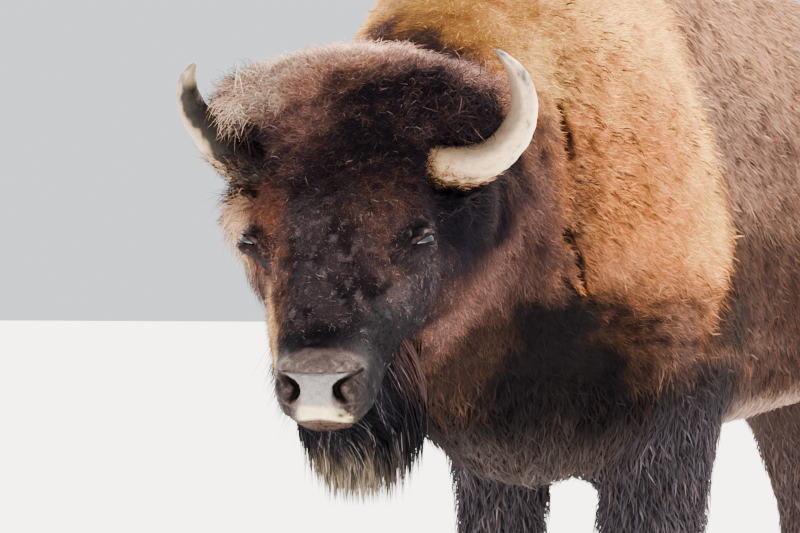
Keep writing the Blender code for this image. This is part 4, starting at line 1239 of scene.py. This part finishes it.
def shaded(colours, knots, root, tip, rng, amount):
    """Colours for each knot of each tuft, darkened by painted shade towards the root, and differing
    from tuft to tuft.
    """
    light = np.exp(rng.normal(0, amount, len(colours)))
    warm = rng.normal(0, 0.05, len(colours))
    own = colours * light[:, None] * np.stack([1 + warm, np.ones_like(warm), 1 - warm], 1)
    steps = root + (tip - root) * np.linspace(0, 1, knots)
    return own[:, None, :] * steps[None, :, None]


def grow(
    name, slot, seed, density, length, width, stray, vary,
    knots=2, rise=1.0, curl=0.0, tip=1.15, frost=0.0, dye=None,
):
    """Grows tufts over the skin, so many to the square metre, in pieces within the limit of faces.

    stray turns them off the lie, vary and tip set how light they are, rise how far they stand
    up through the coat's depth, frost how many have pale ends, and dye a colour of their own.
    """
    rng = np.random.default_rng(seed)
    places, normals, maps = rooted(density, rng)
    lengths = length * np.exp(rng.normal(0, 0.20, len(places)))
    depth = coat_depth(places + normals * 0.008)
    rises = np.minimum(depth * rng.uniform(0.35, 1.0, len(places)) * rise, lengths * 0.8)
    widths = width * np.exp(rng.normal(0, 0.2, len(places)))
    curls = lengths * curl * rng.random(len(places))
    paths, sides, widths = combed(places, normals, lengths, rises, widths, knots, rng, curls, stray)
    colours = coat_colour(places)
    if dye is not None:
        colours = colours * 0.15 + dye * 0.85
    tints = shaded(colours, knots, 0.50, tip, rng, vary)
    frosted = rng.random(len(places)) < frost * np.clip(colours.mean(1) / 0.020, 0.1, 1.0)
    pale = srgb(150, 128, 124) * rng.uniform(0.1, 0.8, frosted.sum())[:, None]
    tints[frosted, 1:] = tints[frosted, 1:] * 0.5 + pale[:, None, :]
    per_piece = PIECE_LIMIT // (6 * (knots - 2) + 3)
    order = np.argsort(places[:, 1] + 0.2 * places[:, 0])
    groups = np.array_split(order, max(1, math.ceil(len(order) / per_piece)))
    for k, group in enumerate(groups):
        rows = [row[group] for row in (paths, sides, widths, normals, tints, maps)]
        tuft_piece(f"{name}_{k + 1}", slot, *rows)


middles = regions(triangle_middle)
middle_y, middle_z = triangle_middle[:, 1], triangle_middle[:, 2]
on_body = (1 - middles["head"]) * (1 - middles["leg"])
under = middles["fore"] * fall(middle_z, 0.66, 0.78)

# ---------------------------------------------------------------- cape and brisket
# Dense curly wool over hump, neck and shoulder, in small matted tufts with longer locks and
# brown dashes in the furrows behind the crease, and longer dark hair under the chest.

middle_gap = crease_gap(triangle_middle)
in_crack = ramp(crack_share(triangle_middle, middle_gap, 0.0115), 0.25, 0.6)
cape_share = (1 - middles["rear"]) * on_body * (1 - under)
grow("cape_wool", "tan_shoulder_hair", 1, cape_share * 128000 * (1 + 0.3 * in_crack),
     length=0.0110, width=0.0015, rise=0.9, stray=0.45, vary=0.38, tip=1.40)
grow("cape_locks", "tan_shoulder_hair", 9, cape_share * 2200 * (1 - in_crack),
     length=0.019, width=0.0020, knots=3, curl=0.3, stray=0.55, vary=0.24, tip=1.2)
dashes = cape_share * ramp(-middle_gap, -0.02, 0.02) * (1 - 0.85 * ramp(-middle_gap, 0.06, 0.20))
dashes = dashes * ramp(middle_z, 0.86, 0.90) * (1 - 0.7 * ramp(middle_z, 1.14, 1.24))
dashes = dashes * ramp(cloud(combed_places(triangle_middle, 38, 0.4), 0.020, 61), -0.2, 0.3)
grow("cape_dashes", "tan_shoulder_hair", 17, dashes * 16000,
     length=0.019, width=0.0024, knots=3, rise=1.25, curl=0.1, stray=0.22, vary=0.30,
     tip=1.1, dye=srgb(70, 42, 28))
grow("brisket_coat", "dark_long_hair", 8, on_body * under * 26000,
     length=0.034, width=0.0028, knots=3, curl=0.15, stray=0.30, vary=0.26, tip=1.3)

# ---------------------------------------------------------------- hindquarters and legs
# Flatter grey-brown hair behind the cape's edge, in streaked locks that point back and down,
# and blackish hair on the legs, long as far as the knee and short below it.

grow("rear_coat", "rear_body_hair", 2, middles["rear"] * on_body * (1 - under) * 31000,
     length=0.020, width=0.0024, rise=0.9, stray=0.30, vary=0.30, tip=1.25)
grow("rear_locks", "rear_body_hair", 10, middles["rear"] * on_body * 1600,
     length=0.030, width=0.0028, knots=3, curl=0.25, stray=0.30, vary=0.26, tip=1.2)
rear_near = 1 - 0.75 * ramp(middle_y, 0.05, 0.35)
grow("rear_dashes", "rear_body_hair", 18, middles["rear"] * on_body * 4200 * rear_near,
     length=0.030, width=0.0022, rise=1.2, stray=0.20, vary=0.30, tip=1.0, dye=srgb(40, 28, 25))
grow("leg_coat", "dark_long_hair", 3, middles["leg"] * (1 - middles["low_leg"]) * 26000,
     length=0.036, width=0.0036, knots=3, curl=0.15, stray=0.25, vary=0.24, tip=1.3)
grow("shank_coat", "dark_long_hair", 4, middles["low_leg"] * 45000,
     length=0.012, width=0.0024, stray=0.2, vary=0.18)

# ---------------------------------------------------------------- bonnet
# The woolly cap between the horns: a thick felt of short curls in every direction, thin wisps
# that break its outline, and longer ends where it hangs over the horns' roots at the sides.

grow("crown_wool", "short_winter_hair", 5, middles["crown"] * 310000,
     length=0.0090, width=0.0012, rise=1.1, stray=1.2, vary=0.52, tip=1.5, frost=0.10)
grow("crown_wisps", "short_winter_hair", 11, middles["crown"] * 21000,
     length=0.018, width=0.0010, knots=3, rise=1.10, curl=0.40, stray=1.0, vary=0.34,
     tip=1.3, frost=0.10)
crown_ends = middles["crown"] * ramp(np.abs(middles["left"]), 0.120, 0.150)
crown_ends = crown_ends * fall(middle_z, 1.15, 1.18)
grow("crown_ends", "short_winter_hair", 14, crown_ends * 70000,
     length=0.032, width=0.0011, knots=4, rise=1.8, curl=0.40, stray=1.0, vary=0.45, tip=1.3)

# ---------------------------------------------------------------- face and ears
# Short hair, finest round the eyes and over the nose, longer on cheeks and throat. Stray curls
# lie over it, and the hair stands out from the face's far edge, the temple and the ears.

lid_clear = eye_gap(triangle_middle) > 0.030
furred = fall(middles["muzzle"], 0.2, 0.5)
head_only = middles["head"] * (1 - middles["crown"]) * furred * (1 - middles["ear"])
grow("cheek_coat", "short_winter_hair", 6, head_only * (1 - middles["front"]) * lid_clear * 165000,
     length=0.016, width=0.0016, stray=0.55, vary=0.30, tip=1.3)
grow("face_curls", "short_winter_hair", 7, head_only * middles["front"] * lid_clear * 60000,
     length=0.0080, width=0.0007, knots=3, rise=1.2, curl=0.5, stray=1.3, vary=0.60,
     tip=1.7, frost=0.16)
off_lids = np.ones(triangle_count)
for centre, outward, slit, rise in eye_frames:
    place = triangle_middle - centre
    opening = lid_opening(place @ slit, place @ rise)
    off_lids *= (opening > 0.0045) | (np.linalg.norm(place, axis=1) > 0.045)
grow("face_down", "short_winter_hair", 12, head_only * middles["front"] * off_lids * 185000,
     length=0.0060, width=0.0010, rise=1.2, stray=1.0, vary=0.46, tip=1.5, frost=0.20)
nose_place = np.abs(middles["left"] - nose_middle)
nose_drop = middles["drop"]
lip_hair = ramp(nose_drop - 3.0 * nose_place**2, 0.3690, 0.3730)
wing_hair = ramp(nose_place, 0.040, 0.050) * ramp(nose_drop, 0.312, 0.322) * 0.7
lip_hair = np.maximum(lip_hair, wing_hair)
lip_hair = np.maximum(lip_hair, 0.25 * fall(nose_drop, 0.290, 0.302))
grow("muzzle_down", "short_winter_hair", 19, middles["muzzle"] * lip_hair * 260000,
     length=0.0042, width=0.0007, rise=3.0, stray=0.7, vary=0.60, tip=1.7)
grow("ear_hair", "short_winter_hair", 13, middles["ear"] * 120000,
     length=0.020, width=0.0013, knots=3, rise=1.6, curl=0.2, stray=0.3, vary=0.2)
temple_side = head_only * ramp(-middles["left"], 0.115, 0.140)
temple_side = temple_side * fall(middles["along"], 0.15, 0.20)
grow("far_temple_fringe", "short_winter_hair", 15, temple_side * 50000,
     length=0.038, width=0.0011, knots=3, rise=2.0, curl=0.30, stray=0.5, vary=0.25, tip=1.4)
far_side = ramp(-middles["left"], 0.070, 0.090) * ramp(middles["along"], 0.245, 0.270)
grow("far_face_fringe", "short_winter_hair", 16, head_only * far_side * 100000,
     length=0.0150, width=0.0010, rise=3.4, stray=0.8, vary=0.36, tip=1.4)

# ---------------------------------------------------------------- beard
# Long hair hanging from chin and throat in wavy locks, blackish above and straw-coloured at
# the ends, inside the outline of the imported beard.

beard_low, beard_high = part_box("beard")
beard_middle = (beard_low + beard_high) / 2
flat = np.array([head_left, heading])[:, :2]
centre_2d = np.array(beard_middle)[:2]
rng = np.random.default_rng(20)
chin = middles["head"] * ramp(middles["along"], 0.20, 0.25) * (middle_z < 0.80)
chin = chin * ramp(-middles["out"], 0.022, 0.045) * (middles["along"] < 0.475)
places, normals, maps = rooted(chin * 70000, rng)
STRANDS = 4300
picked = rng.permutation(len(places))[:STRANDS]
places, normals, maps = places[picked], normals[picked], maps[picked]
count = len(places)
offset = (places[:, :2] - centre_2d) @ flat.T
ranked = np.argsort(np.argsort(offset, axis=0), axis=0) / (count - 1) * 2 - 1
disc = ranked * np.sqrt(np.clip(1 - 0.5 * ranked[:, ::-1] ** 2, 0, 1))
disc += rng.normal(0, 0.06, disc.shape)
radius = np.linalg.norm(disc, axis=1)
disc = disc * (np.minimum(radius, 1) / np.maximum(radius, 1e-6))[:, None]
radius = np.minimum(radius, 1)
heights = np.interp(
    radius, [0, 0.35, 0.6, 0.8, 0.92, 1.0], [0.562, 0.566, 0.578, 0.604, 0.628, 0.665]
)
heights = np.maximum(heights + rng.normal(0.004, 0.009, count), beard_low.z)
LOCKS = 420
lock_disc = disc[rng.permutation(count)[:LOCKS]]
lock_of = np.argmin(((disc[:, None, :] - lock_disc[None]) ** 2).sum(2), axis=1)
lock_phase = rng.uniform(0, 6.3, LOCKS)
lock_light = rng.normal(0, 0.3, LOCKS)
lock_drift = rng.normal(0, 0.003, (LOCKS, 2))
knots = 5
steps = np.linspace(0, 1, knots)
half_width = 0.094
gathered = disc + (lock_disc[lock_of] - disc) * 0.85
paths = np.zeros((count, knots, 3))
for k, t in enumerate(steps):
    hang = 1 - (1 - t) ** 2.4
    spot = disc * (1 - t) + gathered * t
    shrink = 1 - 0.05 * t**2
    there = centre_2d + (spot * half_width * shrink + lock_drift[lock_of] * t) @ flat
    across = places[:, :2] * (1 - hang) + there * hang
    waves = 0.0028 * np.sin(lock_phase[lock_of] + t * 10.0) * t
    paths[:, k, :2] = across + waves[:, None] * flat[0] + 0.6 * waves[:, None] * flat[1]
    paths[:, k, 2] = places[:, 2] + (heights - places[:, 2]) * t
sides = np.tile(np.array(head_left), (count, 1)) + rng.normal(0, 0.5, (count, 3))
widths = tapered(0.0016 * np.exp(rng.normal(0, 0.25, count)), steps, [0.9, 1.0, 0.3])
dark = srgb(15, 14, 20)
straw = srgb(184, 162, 138)
near_side = ramp(disc[:, 0], 0.0, 0.60)
height_now = paths[:, :, 2]
share = fall(height_now + 0.05 * lock_light[lock_of][:, None], 0.572, 0.655)
share = share * (0.25 + 0.75 * rng.random(count)[:, None]) * (1 - 0.75 * near_side[:, None])
share = share * rng.uniform(0.35, 1.0, LOCKS)[lock_of][:, None]
tints = dark + (straw - dark) * share[:, :, None]
throat_side = ramp(disc[:, 0] - 0.3 * disc[:, 1], 0.60, 0.85)[:, None]
redder = ramp(height_now + 0.05 * lock_light[lock_of][:, None], 0.675, 0.760) * throat_side
tints = tints + (srgb(60, 42, 41) - tints) * (redder * 0.9)[:, :, None]
frosty = (rng.random(count) < 0.10)[:, None] * fall(height_now, 0.66, 0.71)
tints = tints + (srgb(110, 106, 106) - tints) * (frosty * 0.45)[:, :, None]
tints = tints * np.exp(rng.normal(0, 0.34, count))[:, None, None]
outward = unit(np.concatenate([disc @ flat + 0.3 * np.array(heading)[:2], np.zeros((count, 1))], 1))
beard = tuft_piece("beard_hair", "dark_long_hair", paths, sides, widths, outward, tints, maps)
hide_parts("beard")

# ---------------------------------------------------------------- chin and horn-base hair
# Stray bristles under the lips and along the jaw, and a coarse fringe of hair that creeps
# from the bonnet onto the base of each horn.

rng = np.random.default_rng(40)
jaw_line = middles["head"] * ramp(middles["along"], 0.30, 0.36) * furred
jaw_line = jaw_line * ramp(-middles["out"], 0.020, 0.040) * fall(-middles["out"], 0.09, 0.11)
places, normals, maps = rooted(jaw_line * 52000, rng)
count = len(places)
knots = 4
steps = np.linspace(0, 1, knots)
lengths = 0.030 * np.exp(rng.normal(0, 0.35, count))
lean = unit(normals * 0.55 + np.array([0, 0, -1.0]) + rng.normal(0, 0.16, (count, 3)))
paths = places[:, None, :] - normals[:, None, :] * 0.001
paths = paths + each_way(lean, lengths[:, None] * steps[None])
paths[:, :, 2] -= 0.004 * steps[None] ** 2
widths = tapered(0.0011 * np.exp(rng.normal(0, 0.2, count)), steps, [1, 0.8, 0.25])
sides = rng.normal(0, 1, (count, 3))
pale = (rng.random(count) < 0.09)[:, None, None]
tints = shaded(np.tile(srgb(26, 24, 30), (count, 1)), knots, 0.9, 1.2, rng, 0.25)
tints = np.where(pale, tints * srgb(190, 176, 172) / srgb(60, 58, 64), tints)
tuft_piece("chin_bristles", "dark_long_hair", paths, sides, widths, normals, tints, maps)

skin_tree = KDTree(triangle_count)
for index, place in enumerate(triangle_middle):
    skin_tree.insert(place, index)
skin_tree.balance()


def nearest_maps(points):
    """Map places of the skin's triangles nearest to some points off the skin."""
    nearest = [skin_tree.find(place)[1] for place in points]
    return skin_uv[corner_loops[nearest]].mean(1)


for (points, point_normals, length, onward), side_name in zip(horn_bases, ("left", "right")):
    start = 0.78 if side_name == "left" else 0.56
    weight = ramp(length, start, start + 0.12) * (length < 0.985)
    count = 2400
    picked = rng.choice(len(points), count, p=weight / weight.sum())
    places = points[picked] + rng.normal(0, 0.0022, (count, 3))
    normals = point_normals[picked]
    knots = 3
    steps = np.linspace(0, 1, knots)
    short = 0.009 if side_name == "left" else 0.013
    lengths = short * np.exp(rng.normal(0, 0.3, count)) * (1 + ramp(length[picked], 0.84, 0.96))
    lie = onward + normals * 0.10 + rng.normal(0, 0.45, (count, 3))
    lie = unit(lie - normals * np.sum(lie * normals, 1)[:, None] * 0.85)
    lift = 0.0035 * rng.random(count) * (1 + 2 * ramp(length[picked], 0.86, 0.96))
    paths = places[:, None, :] - normals[:, None, :] * 0.001
    paths = paths + each_way(lie, lengths[:, None] * steps[None])
    paths = paths + each_way(normals, lift[:, None] * steps[None] ** 0.7)
    bend = 0.0030 * np.sin(steps * 3.1)[None] * rng.choice([-1, 1], count)[:, None]
    sides = np.cross(lie, normals)
    paths = paths + each_way(sides, bend)
    widths = tapered(np.full(count, 0.0012), steps, [1, 0.9, 0.25])
    upper = ramp(normals[:, 2] + rng.normal(0, 0.25, count), -0.1, 0.6)
    if side_name == "right":
        upper = ramp(normals @ left_a + rng.normal(0, 0.2, count), -0.75, -0.2)
    upper = np.maximum(upper, ramp(length[picked] + rng.normal(0, 0.05, count), 0.82, 0.94))
    upper = np.maximum(upper, 0.9 * (rng.random(count) < 0.30))
    tints = mixed(np.tile(srgb(182, 136, 100), (count, 1)), srgb(34, 25, 27), upper)
    tints = shaded(tints, knots, 0.55, 1.35, rng, 0.40)
    maps = nearest_maps(places)
    name = side_name + "_horn_fringe"
    tuft_piece(name, "short_winter_hair", paths, sides, widths, normals, tints, maps)

# ---------------------------------------------------------------- tail brush
# A narrow brush of long dark hair that hangs from the end of the tail. Its strands start up
# among the tail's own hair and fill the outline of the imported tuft.

tuft_low, tuft_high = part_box("tail_tuft")
rng = np.random.default_rng(30)
count = 620
knots = 6
steps = np.linspace(0, 1, knots)
angle = rng.uniform(0, 2 * math.pi, count)
radius = np.sqrt(rng.random(count))
tuft_middle = (tuft_low + tuft_high) / 2
half_x = (tuft_high.x - tuft_low.x) / 2
half_y = (tuft_high.y - tuft_low.y) / 2
start = tuft_high.z + 0.030 - rng.random(count) * 0.12
stop = tuft_low.z + (1 - radius) * 0.01 + radius * 0.05 + rng.random(count) * 0.02
paths = np.zeros((count, knots, 3))
for k, t in enumerate(steps):
    z = start + (stop - start) * t
    level = (z - tuft_low.z) / (tuft_high.z - tuft_low.z)
    wide = np.interp(level, [0, 0.2, 0.5, 0.8, 1], [0.1, 0.55, 0.95, 0.8, 0.55])
    paths[:, k, 0] = tuft_middle.x + np.cos(angle) * radius * half_x * wide
    paths[:, k, 1] = tuft_middle.y + np.sin(angle) * radius * half_y * wide
    paths[:, k, 2] = z
    paths[:, k, 0] += 0.002 * np.sin(angle * 5 + 7 * t) * t
outward = np.stack([np.cos(angle), np.sin(angle), np.zeros(count)], 1)
sides = np.stack([-np.sin(angle), np.cos(angle), np.zeros(count)], 1)
widths = tapered(0.0026 * np.exp(rng.normal(0, 0.2, count)), steps, [0.8, 1.0, 0.3])
tints = shaded(np.tile(srgb(38, 32, 34), (count, 1)), knots, 0.8, 1.3, rng, 0.25)
maps = nearest_maps(paths[:, 0])
brush = tuft_piece("tail_brush", "dark_long_hair", paths, sides, widths, outward, tints, maps)
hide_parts("tail_tuft")
